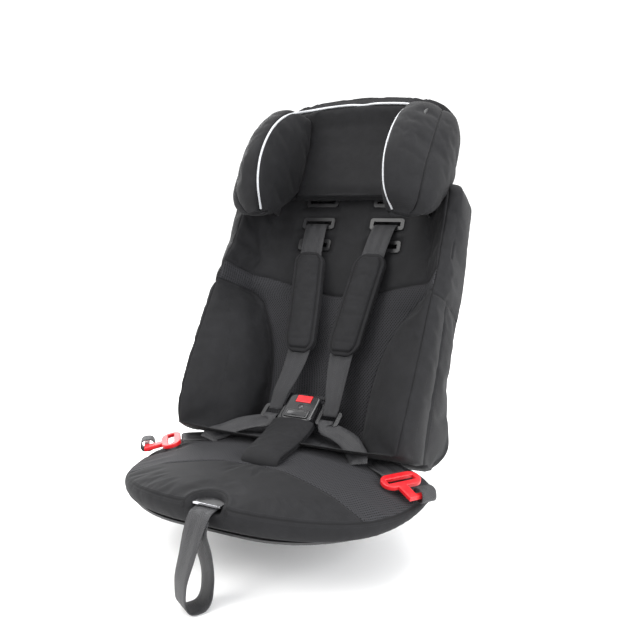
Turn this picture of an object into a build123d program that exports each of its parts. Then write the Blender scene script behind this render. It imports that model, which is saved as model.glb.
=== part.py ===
from build123d import *
import os
from math import sin, cos, radians

# Harness booster car seat for a child, with a padded base, a backrest on two
# hinges, a height-adjustable headrest and a five-point harness.
# Millimetres.  X is across the seat, Y runs from front to back, Z is up.
# The origin is the middle of the face that rests on the vehicle seat.

# ---- overall sizes ---------------------------------------------------------
SEAT_WIDTH = 420.0           # base, side to side
SEAT_FRONT = -160.0          # front edge of the base
SEAT_REAR = 103.0            # rear edge of the base
SEAT_HEIGHT = 44.0           # top of the seat cushion in the middle
SEAT_CROWN = 1010.0          # radius of its crown across the seat
FRONT_CORNER = 165.0         # plan radius of the front corners
REAR_CORNER = 48.0           # plan radius of the rear corners
BACK_WIDTH = 388.0           # backrest over its side panels
BACK_LENGTH = 458.0          # backrest height along its own slope
BACK_LIFT = 18.0             # lower end of the backrest along its slope
RECLINE = 26.5               # backrest slope from upright, degrees
BACK_FOOT_Y = 101.3          # where the backrest's front face meets z = 0
BOLSTER_TOP = 256.0          # upper end of the side bolsters
BOLSTER_DEPTH = 97.0         # how far the bolsters stand forward
HEAD_WIDTH = 336.0           # headrest over its wings
HEAD_DROP = 21.0             # head pad starts this far below the backrest's top
HEAD_HEIGHT = 149.0          # head pad along the slope
WING_REACH = 163.0           # how far the wings stand forward

# ---- walls, webbing and clearances -----------------------------------------
GAP = 0.4                    # free space between neighbouring pieces
MAT = 1.5                    # anti-slip mat
COVER = 3.0                  # underside cover
WALL = 4.0                   # moulded shells
SHELL_INSET = 14.0           # cushion overhang around the base shell
SHELL_TOP = 30.0             # top of the base shell
PAD = 25.6                   # backrest foam
FORK = 14.0                  # room behind the back shell for the harness
WEB = 1.6                    # webbing thickness
WEB_WIDTH = 38.0             # harness webbing width
PULL_WIDTH = 30.0            # adjuster webbing width
TILT_FORWARD = 4.0           # backrest travel towards the front, degrees
TILT_BACK = 12.0             # backrest travel towards the rear, degrees

# ---- harness ---------------------------------------------------------------
ROW_DROPS = (103.0, 64.0, 24.0)   # slot rows below the backrest's top
SLOT_X = 61.0
SLOT_ROOM = 8.0              # slot length beyond the webbing width
SLOT_HEIGHT = 8.0
BEZEL_RIM = 6.0
BUCKLE_TILT = 31.0           # buckle's long axis above level, degrees
BUCKLE_Y = 92.0
BUCKLE_Z = 82.0
BUCKLE_CHEEK = 6.0           # buckle beside its webbing, each side
BUCKLE_LENGTH = 50.0
BUCKLE_DEPTH = 22.0
BUCKLE_WALL = 2.2
BUTTON_TRAVEL = 3.5
TONGUE = 2.0

# ---- hinges ----------------------------------------------------------------
PIN_Y = 128.0
PIN_Z = 15.0
PIN_R = 4.0
PIN_PLAY = 0.06
HINGE_X = 112.0
EAR = 4.0
EAR_GAP = 11.0
EAR_R = 9.0

# ---- headrest guides -------------------------------------------------------
POST_X = 112.0
POST_R = 4.5
POST_W = -13.0
POST_PLAY = 0.08
SLEEVE_WALL = 2.42
HEAD_TRAVEL = 90.0
HEAD_PLATE_W = 5.0

# ---- belt guides -----------------------------------------------------------
GUIDE_INSET = 30.0           # middle of the frame, in from the base's side
GUIDE_Y = 14.0
GUIDE_Z = 36.0
GUIDE_DIR = (0.61, 0.7924)   # along the frame's long side
GUIDE_LONG = 56.0
GUIDE_SHORT = 28.0
GUIDE_THICK = 6.0
GUIDE_TILT = 12.0
BAND_END = 66.0

# ---- adjuster --------------------------------------------------------------
ARCH_R = 24.0
PULL_Z = 33.8                # webbing mid-plane in the adjuster
PULL_TRAVEL = 40.0
HOUSING_FRONT = -147.0
HOUSING_REAR = -100.0
HOUSING_TOP = 40.0
LEVER_PIN_Y = -122.0
LEVER_PIN_Z = 37.2

# ---- sizes that follow from the ones above ------------------------------------
HEAD_BOTTOM = BACK_LENGTH - HEAD_DROP
HEAD_TOP = HEAD_BOTTOM + HEAD_HEIGHT
SLOT_ROWS = [BACK_LENGTH - drop for drop in ROW_DROPS]
STRAP_ROW = SLOT_ROWS[1]
SLOT_LENGTH = WEB_WIDTH + SLOT_ROOM
BUCKLE_WIDTH = WEB_WIDTH + 2 * BUCKLE_CHEEK
SLEEVE_R = POST_R + POST_PLAY + SLEEVE_WALL
GUIDE_AT = (SEAT_WIDTH / 2 - GUIDE_INSET, GUIDE_Y, GUIDE_Z)
WEB_SLOT = WEB_WIDTH / 2 + 3      # half width of the slots the crotch webbing goes through

os.makedirs("parts", exist_ok=True)

S = sin(radians(RECLINE))
C = cos(radians(RECLINE))
# Backrest frame: local x across, y up the slope, z forward out of the padding.
BACK = Plane(origin=(0, BACK_FOOT_Y, 0), x_dir=(1, 0, 0), z_dir=(0, -C, S))
SB = sin(radians(BUCKLE_TILT))
CB = cos(radians(BUCKLE_TILT))
# Buckle frame: local x across, y along the buckle, z out of its front face.
BUCKLE = Plane(origin=(0, BUCKLE_Y, BUCKLE_Z), x_dir=(1, 0, 0), z_dir=(0, -SB, CB))
PIVOT = Axis((0, PIN_Y, PIN_Z), (1, 0, 0))


# ---- helpers ---------------------------------------------------------------
def block(x0, x1, y0, y1, z0, z1):
    centre = Pos((x0 + x1) / 2, (y0 + y1) / 2, (z0 + z1) / 2)
    return centre * Box(abs(x1 - x0), abs(y1 - y0), abs(z1 - z0))


def seat_plan(inset):
    """Plan outline of the base, set in all round."""
    half = SEAT_WIDTH / 2 - inset
    front = SEAT_FRONT + inset
    rear = SEAT_REAR - inset
    plan = make_face(Polyline((-half, front), (half, front), (half, rear), (-half, rear), close=True))
    corners = plan.vertices().sort_by(Axis.Y)
    plan = fillet(corners[:2], FRONT_CORNER - inset)
    corners = plan.vertices().filter_by(lambda v: v.Y > rear - 1)
    return fillet(corners, max(REAR_CORNER - inset, 5))


def seat_slab(inset, z0, z1):
    return Pos(0, 0, z0) * extrude(seat_plan(inset), z1 - z0)


def crown(top):
    """Everything under a surface arched across the seat, with its ridge at top."""
    return Pos(0, 0, top - SEAT_CROWN) * Rot(90, 0, 0) * Cylinder(SEAT_CROWN, 900)


def crown_drop(x):
    return SEAT_CROWN - (SEAT_CROWN ** 2 - x ** 2) ** 0.5


def along_y(points, y0, y1, radius=0):
    """Prism with an x-z outline, running from y0 to y1."""
    face = make_face(Polyline(*points, close=True))
    if radius:
        face = fillet(face.vertices(), radius)
    return Pos(0, y1, 0) * extrude(Plane.XZ * face, y1 - y0)


def along_x(points, x0, x1, radius=0):
    """Prism with a y-z outline, running from x0 to x1."""
    face = make_face(Polyline(*points, close=True))
    if radius:
        face = fillet(face.vertices(), radius)
    return Pos(x0, 0, 0) * extrude(Plane.YZ * face, x1 - x0)


def band(points, radius, thickness, x0, x1):
    """Strip that follows a path in the y-z plane and spans x0 to x1."""
    path = FilletPolyline(*points, radius=radius)
    return Pos(x0, 0, 0) * extrude(Plane.YZ * trace(path, thickness), x1 - x0)


def ribbon(points, width, thickness, across=(1, 0, 0)):
    """Webbing through points: a ruled loft of thin upright sections."""
    sections = []
    last = len(points) - 1
    for i, point in enumerate(points):
        before = Vector(*points[max(i - 1, 0)])
        after = Vector(*points[min(i + 1, last)])
        plane = Plane(origin=point, x_dir=across, z_dir=(after - before).normalized())
        sections.append(plane * Rectangle(width, thickness))
    return loft([s.face() for s in sections], ruled=True)


def both(piece):
    return [piece, mirror(piece, about=Plane.YZ)]


def save(name, *solids):
    shapes = []
    for solid in solids:
        shapes.extend(solid.solids())
    piece = shapes[0] if len(shapes) == 1 else Compound(children=shapes)
    piece.label = name
    export_step(piece, "parts/" + name + ".step")


def save_pair(name, piece):
    """The piece as drawn is on the side of +x; its twin is mirrored."""
    save(name + "_left", piece)
    save(name + "_right", mirror(piece, about=Plane.YZ))


def clear_of_seat(piece):
    """Keep a backrest piece off the base through the whole tilt."""
    seat = block(-SEAT_WIDTH, SEAT_WIDTH, SEAT_FRONT, SEAT_REAR + 2, -60, SEAT_HEIGHT + 2)
    for step in (0, TILT_FORWARD / 2, TILT_FORWARD + 0.4):
        piece = piece - seat.rotate(PIVOT, -step)
    return piece


# ---- base ------------------------------------------------------------------
cover_low = MAT + GAP / 2
cover_top = cover_low + COVER
shell_low = cover_top + GAP / 2
screw_spots = [(x, y) for x in (-150, 150) for y in (-70, 60)] + [(0, -95), (0, 70)]

save("anti_slip_mat", seat_slab(26, 0, MAT))

underside = seat_slab(10, cover_low, cover_top)
for x, y in screw_spots:
    underside -= Pos(x, y, cover_low + 1) * Cylinder(5, 2.01)
    underside -= Pos(x, y, cover_low) * Cylinder(2.3, 20)
save("underside_cover", underside)

crotch_y = -30.8
shell = seat_slab(SHELL_INSET, shell_low, SHELL_TOP) & crown(SHELL_TOP)
shell -= seat_slab(SHELL_INSET + WALL, shell_low - 1, SHELL_TOP) & crown(SHELL_TOP - WALL)
for x, y in screw_spots:
    boss_top = SHELL_TOP - crown_drop(x) - WALL + 0.5
    shell += Pos(x, y, (shell_low + boss_top) / 2) * Cylinder(6.5, boss_top - shell_low)
    shell -= Pos(x, y, shell_low + 5) * Cylinder(2.1, 10.01)
shell -= block(-WEB_SLOT, WEB_SLOT, crotch_y - 5, crotch_y + 5, 0, 60)
foot_top = SHELL_TOP - crown_drop(HINGE_X + 13) - WALL - GAP
window = block(HINGE_X - 13, HINGE_X + 13, SEAT_REAR - 40, SEAT_REAR + 5, 2, foot_top + GAP / 2)
for hole in both(window):
    shell -= hole
save("base_shell", shell)

screws = []
for x, y in screw_spots:
    head = Pos(x, y, cover_low + 0.95) * Cylinder(4.6, 1.8)
    shank = Pos(x, y, cover_low + 6.5) * Cylinder(1.9, 11)
    screws.append(head + shank)
save("cover_screws", *screws)

cushion = seat_slab(0, shell_low, SEAT_HEIGHT + 1) & crown(SEAT_HEIGHT)
cushion = fillet(cushion.faces().sort_by(Axis.Z)[-1].edges(), 8)
cushion = fillet(cushion.faces().sort_by(Axis.Z)[0].edges(), 6)
cushion -= seat_slab(SHELL_INSET - GAP, 0, SHELL_TOP + 1) & crown(SHELL_TOP + GAP)
cushion -= block(-WEB_SLOT, WEB_SLOT, crotch_y - 5, crotch_y + 5, 0, 60)
arch = Pos(0, SEAT_FRONT, 0) * extrude(Circle(ARCH_R), 80)
cushion -= arch - block(-60, 60, -260, 0, -1, SHELL_TOP + GAP)
cushion -= block(-27, 27, HOUSING_FRONT - 5, HOUSING_REAR + 1, SHELL_TOP, HOUSING_TOP + 1)
cushion -= block(-17, 17, HOUSING_REAR, -58, SHELL_TOP, PULL_Z + 2.5)
for hole in both(block(HINGE_X - 13, HINGE_X + 13, SEAT_REAR - 30, SEAT_REAR + 5, 0, SHELL_TOP)):
    cushion -= hole
save("seat_cushion", cushion)

# Steel brackets under the shell carry the hinge ears out through the rear.
bracket = block(HINGE_X - 10, HINGE_X + 10, SEAT_REAR - 50, SEAT_REAR - 12, foot_top - 3, foot_top)
ear_out = EAR_GAP / 2 + EAR
for x0 in (HINGE_X - ear_out, HINGE_X + EAR_GAP / 2):
    bracket += block(x0, x0 + EAR, SEAT_REAR - 35, PIN_Y, PIN_Z - EAR_R, foot_top)
    bracket -= block(x0 - 1, x0 + EAR + 1, PIN_Y - 8, PIN_Y + 1, PIN_Z + EAR_R, 60)
    bracket += Pos(x0 + EAR / 2, PIN_Y, PIN_Z) * Rot(0, 90, 0) * Cylinder(EAR_R, EAR)
bracket -= Pos(HINGE_X, PIN_Y, PIN_Z) * Rot(0, 90, 0) * Cylinder(PIN_R, 40)
save("base_hinge_brackets", *both(bracket))

pin = Pos(HINGE_X, PIN_Y, PIN_Z) * Rot(0, 90, 0) * Cylinder(PIN_R, 2 * ear_out + 2)
pin += Pos(HINGE_X + ear_out + 2, PIN_Y, PIN_Z) * Rot(0, 90, 0) * Cylinder(PIN_R + 2, 2)
save("hinge_pins", *both(pin))

# Crotch strap anchor: webbing through the shell round a steel bar.
bar_z = SHELL_TOP - WALL - 4.6
save("crotch_anchor_bar", Pos(0, crotch_y, bar_z) * Rot(0, 90, 0) * Cylinder(2.5, 2 * WEB_SLOT + 16))
half_web = WEB_WIDTH / 2
anchor_web = block(-half_web, half_web, crotch_y - WEB / 2, crotch_y + WEB / 2, bar_z, SEAT_HEIGHT + 4)
anchor_web += Pos(0, crotch_y, bar_z) * Rot(0, 90, 0) * Cylinder(2.5 + WEB, WEB_WIDTH)
anchor_web -= Pos(0, crotch_y, bar_z) * Rot(0, 90, 0) * Cylinder(2.5, 80)
save("crotch_anchor_webbing", anchor_web)

# ---- harness adjuster at the front edge --------------------------------------
housing = block(-26, 26, HOUSING_FRONT, HOUSING_REAR, SHELL_TOP + GAP / 2, HOUSING_TOP)
housing -= block(-17, 17, HOUSING_FRONT - 1, HOUSING_REAR + 1, PULL_Z - 1.6, PULL_Z + 1.9)
housing -= block(-21, 21, HOUSING_FRONT - 1, LEVER_PIN_Y + 8, PULL_Z + 1.8, HOUSING_TOP + 1)
housing -= Pos(0, LEVER_PIN_Y, LEVER_PIN_Z) * Rot(0, 90, 0) * Cylinder(1.5, 48)
housing = fillet(housing.edges().filter_by(Axis.Y).group_by(Axis.Z)[-1], 1.5)
save("adjuster_housing", housing)

lever = block(-19, 19, HOUSING_FRONT - 8, LEVER_PIN_Y + 3, LEVER_PIN_Z - 1.1, LEVER_PIN_Z + 1.1)
lever += Pos(0, LEVER_PIN_Y, LEVER_PIN_Z) * Rot(0, 90, 0) * Cylinder(2.6, 38)
lever -= block(-30, 30, LEVER_PIN_Y - 5, LEVER_PIN_Y + 5, 0, LEVER_PIN_Z - 1.3)
lever -= Pos(0, LEVER_PIN_Y, LEVER_PIN_Z) * Rot(0, 90, 0) * Cylinder(1.5 + PIN_PLAY, 60)
save("adjuster_lever", lever)
save("adjuster_pin", Pos(0, LEVER_PIN_Y, LEVER_PIN_Z) * Rot(0, 90, 0) * Cylinder(1.5, 47))
edge_y = HOUSING_FRONT - 8 - 1.7
save("adjuster_metal_edge", block(-19, 19, edge_y, edge_y + 1.5, LEVER_PIN_Z - 1.2, LEVER_PIN_Z + 1.2))

pull_line = [
    (-60, PULL_Z), (-168, PULL_Z), (-187, 4), (-203, -42), (-201, -76), (-178, -76), (-170, -44), (-176, 4),
]
pull = band(pull_line, 9, WEB, -PULL_WIDTH / 2, PULL_WIDTH / 2)
save("adjuster_strap", pull)

# ---- backrest, in its own sloping frame --------------------------------------
half_back = BACK_WIDTH / 2 - 9.0
rear_w = -PAD - WALL


def shell_section(inset, rise):
    x = half_back - inset
    low = rear_w + inset
    return [(-x, rise), (-x, -5), (-x + 25, low), (x - 25, low), (x, -5), (x, rise)]


def back_outline(half, low, top):
    """Back shell seen from the front: narrower at the foot, with sloped top corners."""
    right = [(half - 16, low), (half, low + 70), (half, top - 46), (half - 42, top)]
    left = [(-x, v) for x, v in reversed(right)]
    face = make_face(Polyline(*right, *left, close=True))
    face = fillet(face.vertices().filter_by(lambda v: v.Y > top - 60), 20)
    return Pos(0, 0, -80) * extrude(face, 240)


low_v = BACK_LIFT
top_v = BACK_LENGTH
hinge_zone = both(block(HINGE_X - 13, HINGE_X + 13, -40, low_v + 32, -80, 40))

back_shell = along_y(shell_section(0, 50), low_v, top_v)
back_shell -= along_y(shell_section(WALL, 80), low_v - 1, top_v + 1)
back_shell &= back_outline(half_back, low_v, top_v)
slots = [(x, v) for v in SLOT_ROWS for x in (-SLOT_X, SLOT_X)]


def slot_block(x, v, rim, w0, w1):
    """Block over one harness slot, grown by rim all round."""
    half_x = SLOT_LENGTH / 2 + rim
    half_v = SLOT_HEIGHT / 2 + rim
    return block(x - half_x, x + half_x, v - half_v, v + half_v, w0, w1)


for x, v in slots:
    back_shell -= slot_block(x, v, 0, -60, 0)
for hole in hinge_zone:
    back_shell -= hole
save("back_shell", clear_of_seat(BACK * back_shell))

cover_w = rear_w - GAP / 2
rear_cover = block(-150, 150, low_v + 14, top_v - 14, cover_w - FORK, cover_w)
rear_cover = fillet(rear_cover.edges().filter_by(Axis.Z), 30)
rear_cover = fillet(rear_cover.faces().sort_by(Axis.Z)[0].edges(), 6)
rear_cover -= block(-146, 146, low_v + 18, top_v - 18, cover_w - FORK + 2.4, cover_w + 1)
for hole in hinge_zone:
    rear_cover -= hole
save("back_rear_cover", BACK * rear_cover)

pad_low = -PAD + GAP / 2
seam_v = 262.0


def pad_outline(low, top):
    face = make_face(Polyline((-150, low), (150, low), (150, top), (-150, top), close=True))
    return Pos(0, 0, pad_low) * extrude(face, -pad_low)


upper = pad_outline(seam_v + GAP, top_v - 8)
upper = fillet(upper.edges().filter_by(Axis.Z).group_by(Axis.Y)[-1], 18)
for x, v in slots:
    upper -= slot_block(x, v, BEZEL_RIM + GAP, -60, 10)
for x in (-POST_X, POST_X):
    upper -= Pos(x, top_v - 58, POST_W) * Rot(90, 0, 0) * Cylinder(SLEEVE_R + GAP, 300)
save("back_upper_pad", BACK * upper)

middle = block(-86, 86, low_v, seam_v - GAP, pad_low, -GAP)
middle += block(-150, 150, BOLSTER_TOP + GAP, seam_v - GAP, pad_low, -GAP)
for x in (-POST_X, POST_X):
    middle -= Pos(x, top_v - 58, POST_W) * Rot(90, 0, 0) * Cylinder(SLEEVE_R + GAP, 300)
for hole in hinge_zone:
    middle -= hole
save("back_mesh_pad", clear_of_seat(BACK * middle))

inner = half_back - WALL - GAP
bolster_outline = [
    (86 + GAP, pad_low), (86 + GAP, 6), (112, 50), (146, BOLSTER_DEPTH - 13),
    (166, BOLSTER_DEPTH), (176, BOLSTER_DEPTH - 2), (inner, BOLSTER_DEPTH - 12),
    (inner, -5), (inner - 25, pad_low),
]
bolster = along_y(bolster_outline, low_v, BOLSTER_TOP)
bolster -= hinge_zone[0]
bolster -= block(POST_X - SLEEVE_R - 2, POST_X + SLEEVE_R + 2, top_v - 222, top_v, pad_low - 1, 0)
bolster -= block(HINGE_X - 13, HINGE_X + 13, low_v + 20, low_v + 61, pad_low - 0.1, pad_low + 13)
save_pair("bolster", clear_of_seat(BACK * bolster))

side = block(half_back + GAP / 2, BACK_WIDTH / 2, low_v, top_v - 30, -12, 74)
side = fillet(side.edges().filter_by(Axis.X).group_by(Axis.Y)[-1], 22)
save_pair("side_panel", clear_of_seat(BACK * side))

shoulder_outline = [
    (150 + GAP, pad_low), (150 + GAP, 8), (162, 42), (inner - 6, 52),
    (inner, 46), (inner, -5), (inner - 25, pad_low),
]
shoulder = along_y(shoulder_outline, BOLSTER_TOP + GAP, top_v - 34)
save("upper_side_pads", *both(BACK * shoulder))

bezels = []
for x, v in slots:
    ring = slot_block(x, v, BEZEL_RIM, pad_low, 1.5)
    ring = fillet(ring.edges().filter_by(Axis.Z), 5)
    ring -= slot_block(x, v, 0, -60, 10)
    bezels.append(BACK * ring)
save("harness_slot_bezels", *bezels)

# Steel arms on the back shell carry the moving half of each hinge.
pin_v = (PIN_Y - BACK_FOOT_Y) * S + PIN_Z * C
pin_w = -(PIN_Y - BACK_FOOT_Y) * C + PIN_Z * S
arm_half = EAR_GAP / 2 - GAP
arm = block(HINGE_X - arm_half, HINGE_X + arm_half, pin_v, low_v + 34, pad_low, pad_low + 12)
arm += block(HINGE_X - 12, HINGE_X + 12, low_v + 33, low_v + 60, pad_low, pad_low + 3)
arm += Pos(HINGE_X, pin_v, pin_w) * Rot(0, 90, 0) * Cylinder(EAR_R - 1, 2 * arm_half)
arm -= Pos(HINGE_X, pin_v, pin_w) * Rot(0, 90, 0) * Cylinder(PIN_R + PIN_PLAY, 40)
save("back_hinge_arms", *[BACK * a for a in both(arm)])

sleeves = []
for x in (-POST_X, POST_X):
    tube = Pos(x, top_v - 83, POST_W) * Rot(90, 0, 0) * Cylinder(SLEEVE_R, 140)
    tube += Pos(x, top_v - 11.5, POST_W) * Rot(90, 0, 0) * Cylinder(SLEEVE_R, 3)
    tube -= Pos(x, top_v - 58, POST_W) * Rot(90, 0, 0) * Cylinder(POST_R + POST_PLAY, 300)
    sleeves.append(BACK * tube)
save("headrest_guide_sleeves", *sleeves)

# Harness behind the shell: two straps meet at a splitter plate.
yoke_w = rear_w - 5
yoke = block(-32, 32, 288, 312, yoke_w - 1.2, yoke_w + 1.2)
yoke = fillet(yoke.edges().filter_by(Axis.Z), 6)
yoke -= block(-26, -4, 302, 306, -90, 0)
yoke -= block(4, 26, 302, 306, -90, 0)
yoke -= block(-16, 16, 292, 296, -90, 0)
save("harness_yoke", BACK * yoke)
rear_runs = []
for side_x in (-1, 1):
    run = ribbon([(side_x * 20, 318, yoke_w), (side_x * 50, STRAP_ROW - 10, yoke_w)], 22, 1.4)
    rear_runs.append(BACK * run)
save("rear_harness_straps", *rear_runs)
rear_pull = ribbon([(0, 284, yoke_w), (0, 60, yoke_w)], PULL_WIDTH, WEB)
save("rear_adjust_strap", BACK * rear_pull)

# ---- shoulder straps and pads ------------------------------------------------
front_path = [
    (SLOT_X, STRAP_ROW, -20), (SLOT_X, STRAP_ROW, 4), (SLOT_X - 1, STRAP_ROW - 10, 9),
    (54, STRAP_ROW - 64, 19), (44, 245, 22), (36, 165, 26), (39, 118, 36), (45, 96, 42),
]
strap = ribbon(front_path, WEB_WIDTH, 1.4)
save_pair("shoulder_strap", BACK * strap)

pad_path = [(53.5, STRAP_ROW - 68, 19.1), (44, 245, 22), (36.4, 169, 25.8)]
sleeve_path = [(54.2, STRAP_ROW - 62, 18.9), (44, 245, 22), (35.9, 164, 26.05)]
shoulder_pad = ribbon(pad_path, WEB_WIDTH + 14, 15) - ribbon(sleeve_path, WEB_WIDTH + 2, 2.6)
save_pair("shoulder_pad", BACK * shoulder_pad)

# ---- headrest ---------------------------------------------------------------
handle_v = HEAD_TOP - 45
plate = block(-136, 136, HEAD_BOTTOM + 4, HEAD_TOP - 8, HEAD_PLATE_W, HEAD_PLATE_W + WALL)
plate = fillet(plate.edges().filter_by(Axis.Z), 20)
cheek = block(132, 136, HEAD_BOTTOM - 37, HEAD_BOTTOM + 103, HEAD_PLATE_W, 120)
cheek = fillet(cheek.edges().filter_by(Axis.X).group_by(Axis.Z)[-1], 30)
for c in both(cheek):
    plate += c
for x in (-POST_X, POST_X):
    plate += block(x - 10, x + 10, top_v + 12, top_v + 52, POST_W - 8, HEAD_PLATE_W + 1)
    plate -= Pos(x, top_v - 58, POST_W) * Rot(90, 0, 0) * Cylinder(POST_R, 230)
plate -= block(-36, 36, handle_v - 5, handle_v + 11, 0, 20)
save("headrest_shell", BACK * plate)

posts = []
for x in (-POST_X, POST_X):
    posts.append(BACK * (Pos(x, top_v - 54, POST_W) * Rot(90, 0, 0) * Cylinder(POST_R, 206)))
save("headrest_posts", *posts)

rear_head = block(-128, 128, top_v + 60, HEAD_TOP - 4, -12, HEAD_PLATE_W - GAP)
rear_head = fillet(rear_head.edges().filter_by(Axis.Z), 24)
rear_head -= block(-40, 40, handle_v - 17, handle_v + 21, -20, 20)
save("headrest_rear_cover", BACK * rear_head)

handle = block(-35, 35, handle_v - 4, handle_v + 4, -8, HEAD_PLATE_W + 3)
handle = fillet(handle.edges().filter_by(Axis.X), 2.5)
save("headrest_release_handle", BACK * handle)

face_w = HEAD_PLATE_W + WALL + GAP
head_pad = block(-96, 96, HEAD_BOTTOM, HEAD_TOP, face_w, 29)
head_pad = fillet(head_pad.edges().filter_by(Axis.Z).group_by(Axis.Y)[-1], 16)
save("head_pad", BACK * head_pad)

half_head = HEAD_WIDTH / 2
wing_in = 99.0
wing_plan = [
    (wing_in, face_w), (wing_in, 60), (wing_in + 2, WING_REACH - 10), (wing_in + 9, WING_REACH),
    (wing_in + 27, WING_REACH - 4), (half_head - 12, WING_REACH - 51),
    (half_head, 70), (half_head - 8, face_w),
]
# Side outline of the wings: (height above the head pad's lower edge, forward).
wing_side = [
    (-7, face_w), (-7, 60), (-49, 66), (-69, 92), (-65, 132), (-37, WING_REACH - 5), (-7, WING_REACH),
    (63, WING_REACH - 21), (109, 92), (129, 40), (129, face_w),
]
wing_side = [(HEAD_BOTTOM + v, w) for v, w in wing_side]
wing = along_y(wing_plan, HEAD_BOTTOM - 77, HEAD_BOTTOM + 143) & along_x(wing_side, 90, half_head + 12)
wing -= block(130, 138, HEAD_BOTTOM - 39, HEAD_BOTTOM + 137, 0, 122)
save_pair("headrest_wing", BACK * wing)

loop_points = [(123, 36), (93, 108), (59, 144), (3, 160), (-35, 152), (-61, 120)]
loop = FilletPolyline(*[(HEAD_BOTTOM + v, w) for v, w in loop_points], radius=14)
trim = []
rim_face = trace(loop, 3.6)
for piece in both(Pos(wing_in - 3.8, 0, 0) * extrude(Plane.YZ * rim_face, 3.4)):
    trim.append(BACK * piece)
trim.append(BACK * (Pos(0, HEAD_TOP - 6, 31.2) * Rot(0, 90, 0) * Cylinder(2, 176)))
save("headrest_piping", *trim)

# ---- crotch strap, its pad and the buckle --------------------------------------
strap_line = [(crotch_y + 3.5, 52.5), (0, 55), (34, 60.5), (66, 70.6)]
save("crotch_strap", band(strap_line, 24, WEB, -WEB_WIDTH / 2, WEB_WIDTH / 2))
pad_line = [(-24, 52.9), (0, 55), (34, 60.5), (58, 68.1)]
room_line = [(-30, 52.2), (0, 55), (34, 60.5), (70, 71.9)]
crotch_pad = band(pad_line, 24, 13, -half_web - 12, half_web + 12)
crotch_pad -= band(room_line, 24, 3, -half_web - 1, half_web + 1)
save("crotch_pad", crotch_pad)

bw, bl, bd = BUCKLE_WIDTH / 2, BUCKLE_LENGTH / 2, BUCKLE_DEPTH / 2
hull = block(-bw, bw, -bl, bl, -bd, bd)
hull = fillet(hull.edges().filter_by(Axis.Z), 9)
hull = fillet(hull.faces().filter_by(Axis.Z).edges(), 3)
rw, rl, rd = bw - BUCKLE_WALL, bl - BUCKLE_WALL, bd - BUCKLE_WALL
room = block(-rw, rw, -rl, rl, -rd, rd)
room = fillet(room.edges().filter_by(Axis.Z), 7)
hull -= room
for x0 in (3, -21):
    hull -= block(x0, x0 + 18, bl - 10, bl + 10, -TONGUE, TONGUE)
hull -= block(-WEB_WIDTH / 2 - 1, WEB_WIDTH / 2 + 1, -bl - 5, -bl + 6, -2, 2)
lower_half = hull & block(-60, 60, -60, 60, -60, -GAP / 4)
upper_half = hull & block(-60, 60, -60, 60, GAP / 4, 60)
button_low, button_high = 9.0, 22.0
upper_half -= block(-12 - GAP, 12 + GAP, button_low - GAP, button_high + GAP, 4, 30)
save("buckle_rear_shell", BUCKLE * lower_half)
save("buckle_front_shell", BUCKLE * upper_half)
button = block(-12, 12, button_low, button_high, 5.4, bd + 1.2)
button = fillet(button.faces().sort_by(Axis.Z)[-1].edges(), 1)
save("buckle_button", BUCKLE * button)
spring = Pos(0, (button_low + button_high) / 2, 3.4) * (Cylinder(3.2, 3.4) - Cylinder(2.4, 8))
save("buckle_spring", BUCKLE * spring)
save("buckle_latch", BUCKLE * block(-18, 18, -6, 4, -5.5, -TONGUE / 2 - 0.5))
buckle_bar = block(-WEB_WIDTH / 2 - 0.5, WEB_WIDTH / 2 + 0.5, -bl + 3, -bl + 6.5, -1.8, 1.8)
save("buckle_strap_bar", BUCKLE * buckle_bar)

half_t = TONGUE / 2
tongue = block(5, 19, 6, 33, -half_t, half_t)
tongue += block(5, 33, bl + 3, bl + 9, -half_t, half_t)
tongue += block(bw + 2.5, bw + 8.5, -8, bl + 9, -half_t, half_t)
ring = block(bw + 2.5, bw + 38, -20, 8, -half_t, half_t)
ring = fillet(ring.edges().filter_by(Axis.Z), 6)
tongue += ring
tongue -= block(bw + 8, bw + 32, -14, 2, -5, 5)
save_pair("tongue", BUCKLE * tongue)

# ---- lap straps ---------------------------------------------------------------
lap_x = 118
lap_y = 30
anchor_z = SEAT_HEIGHT - crown_drop(lap_x - 17) + 1
lap_end = (lap_x, lap_y - 6, anchor_z + 10)
lap_start = BUCKLE.from_local_coords(Vector(bw + 28, -17, 0))
lap_path = [(lap_start.X + 8, lap_start.Y - 7, lap_start.Z - 6), (90, 56, 61), (107, 40, 52), lap_end]
lap = ribbon(lap_path, 28, 1.4, across=(0.42, 0.77, 0.48))
save_pair("lap_strap", lap)
pocket = block(lap_x - 14, lap_x + 14, lap_y - 18, lap_y - 6, anchor_z, anchor_z + 3)
save("lap_strap_anchors", *both(pocket))

# ---- vehicle belt guides -------------------------------------------------------
dx, dy = GUIDE_DIR
tilt = radians(GUIDE_TILT)
normal = (dy * sin(tilt), -dx * sin(tilt), cos(tilt))
GUIDE = Plane(origin=GUIDE_AT, x_dir=(dx, dy, 0), z_dir=normal)
gl, gs, gt = GUIDE_LONG / 2, GUIDE_SHORT / 2, GUIDE_THICK / 2
frame = block(-gl, gl, -gs, gs, -gt, gt)
frame = fillet(frame.edges().filter_by(Axis.Z), gs - 0.5)
frame -= block(-20.5, 20.5, -4.5, 4.5, -10, 10)
hook = block(-12, 1, -gs - 24, -gs + 2, -gt, gt)
hook += block(-12, 26, -gs - 26, -gs - 19, -gt, gt)
guide = frame + hook
guide = fillet(guide.faces().filter_by(lambda f: abs(f.normal_at().Z) > 0.9).edges(), 1.4)
save_pair("belt_guide", GUIDE * guide)
belt_web = block(-18, 18, gs + 1, BAND_END, -0.8, 0.8)
web_plane = Plane(origin=(GUIDE_AT[0], GUIDE_AT[1], GUIDE_AT[2] + 3.6), x_dir=(dx, dy, 0), z_dir=(0, 0, 1))
save_pair("belt_guide_webbing", web_plane * belt_web)
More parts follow.
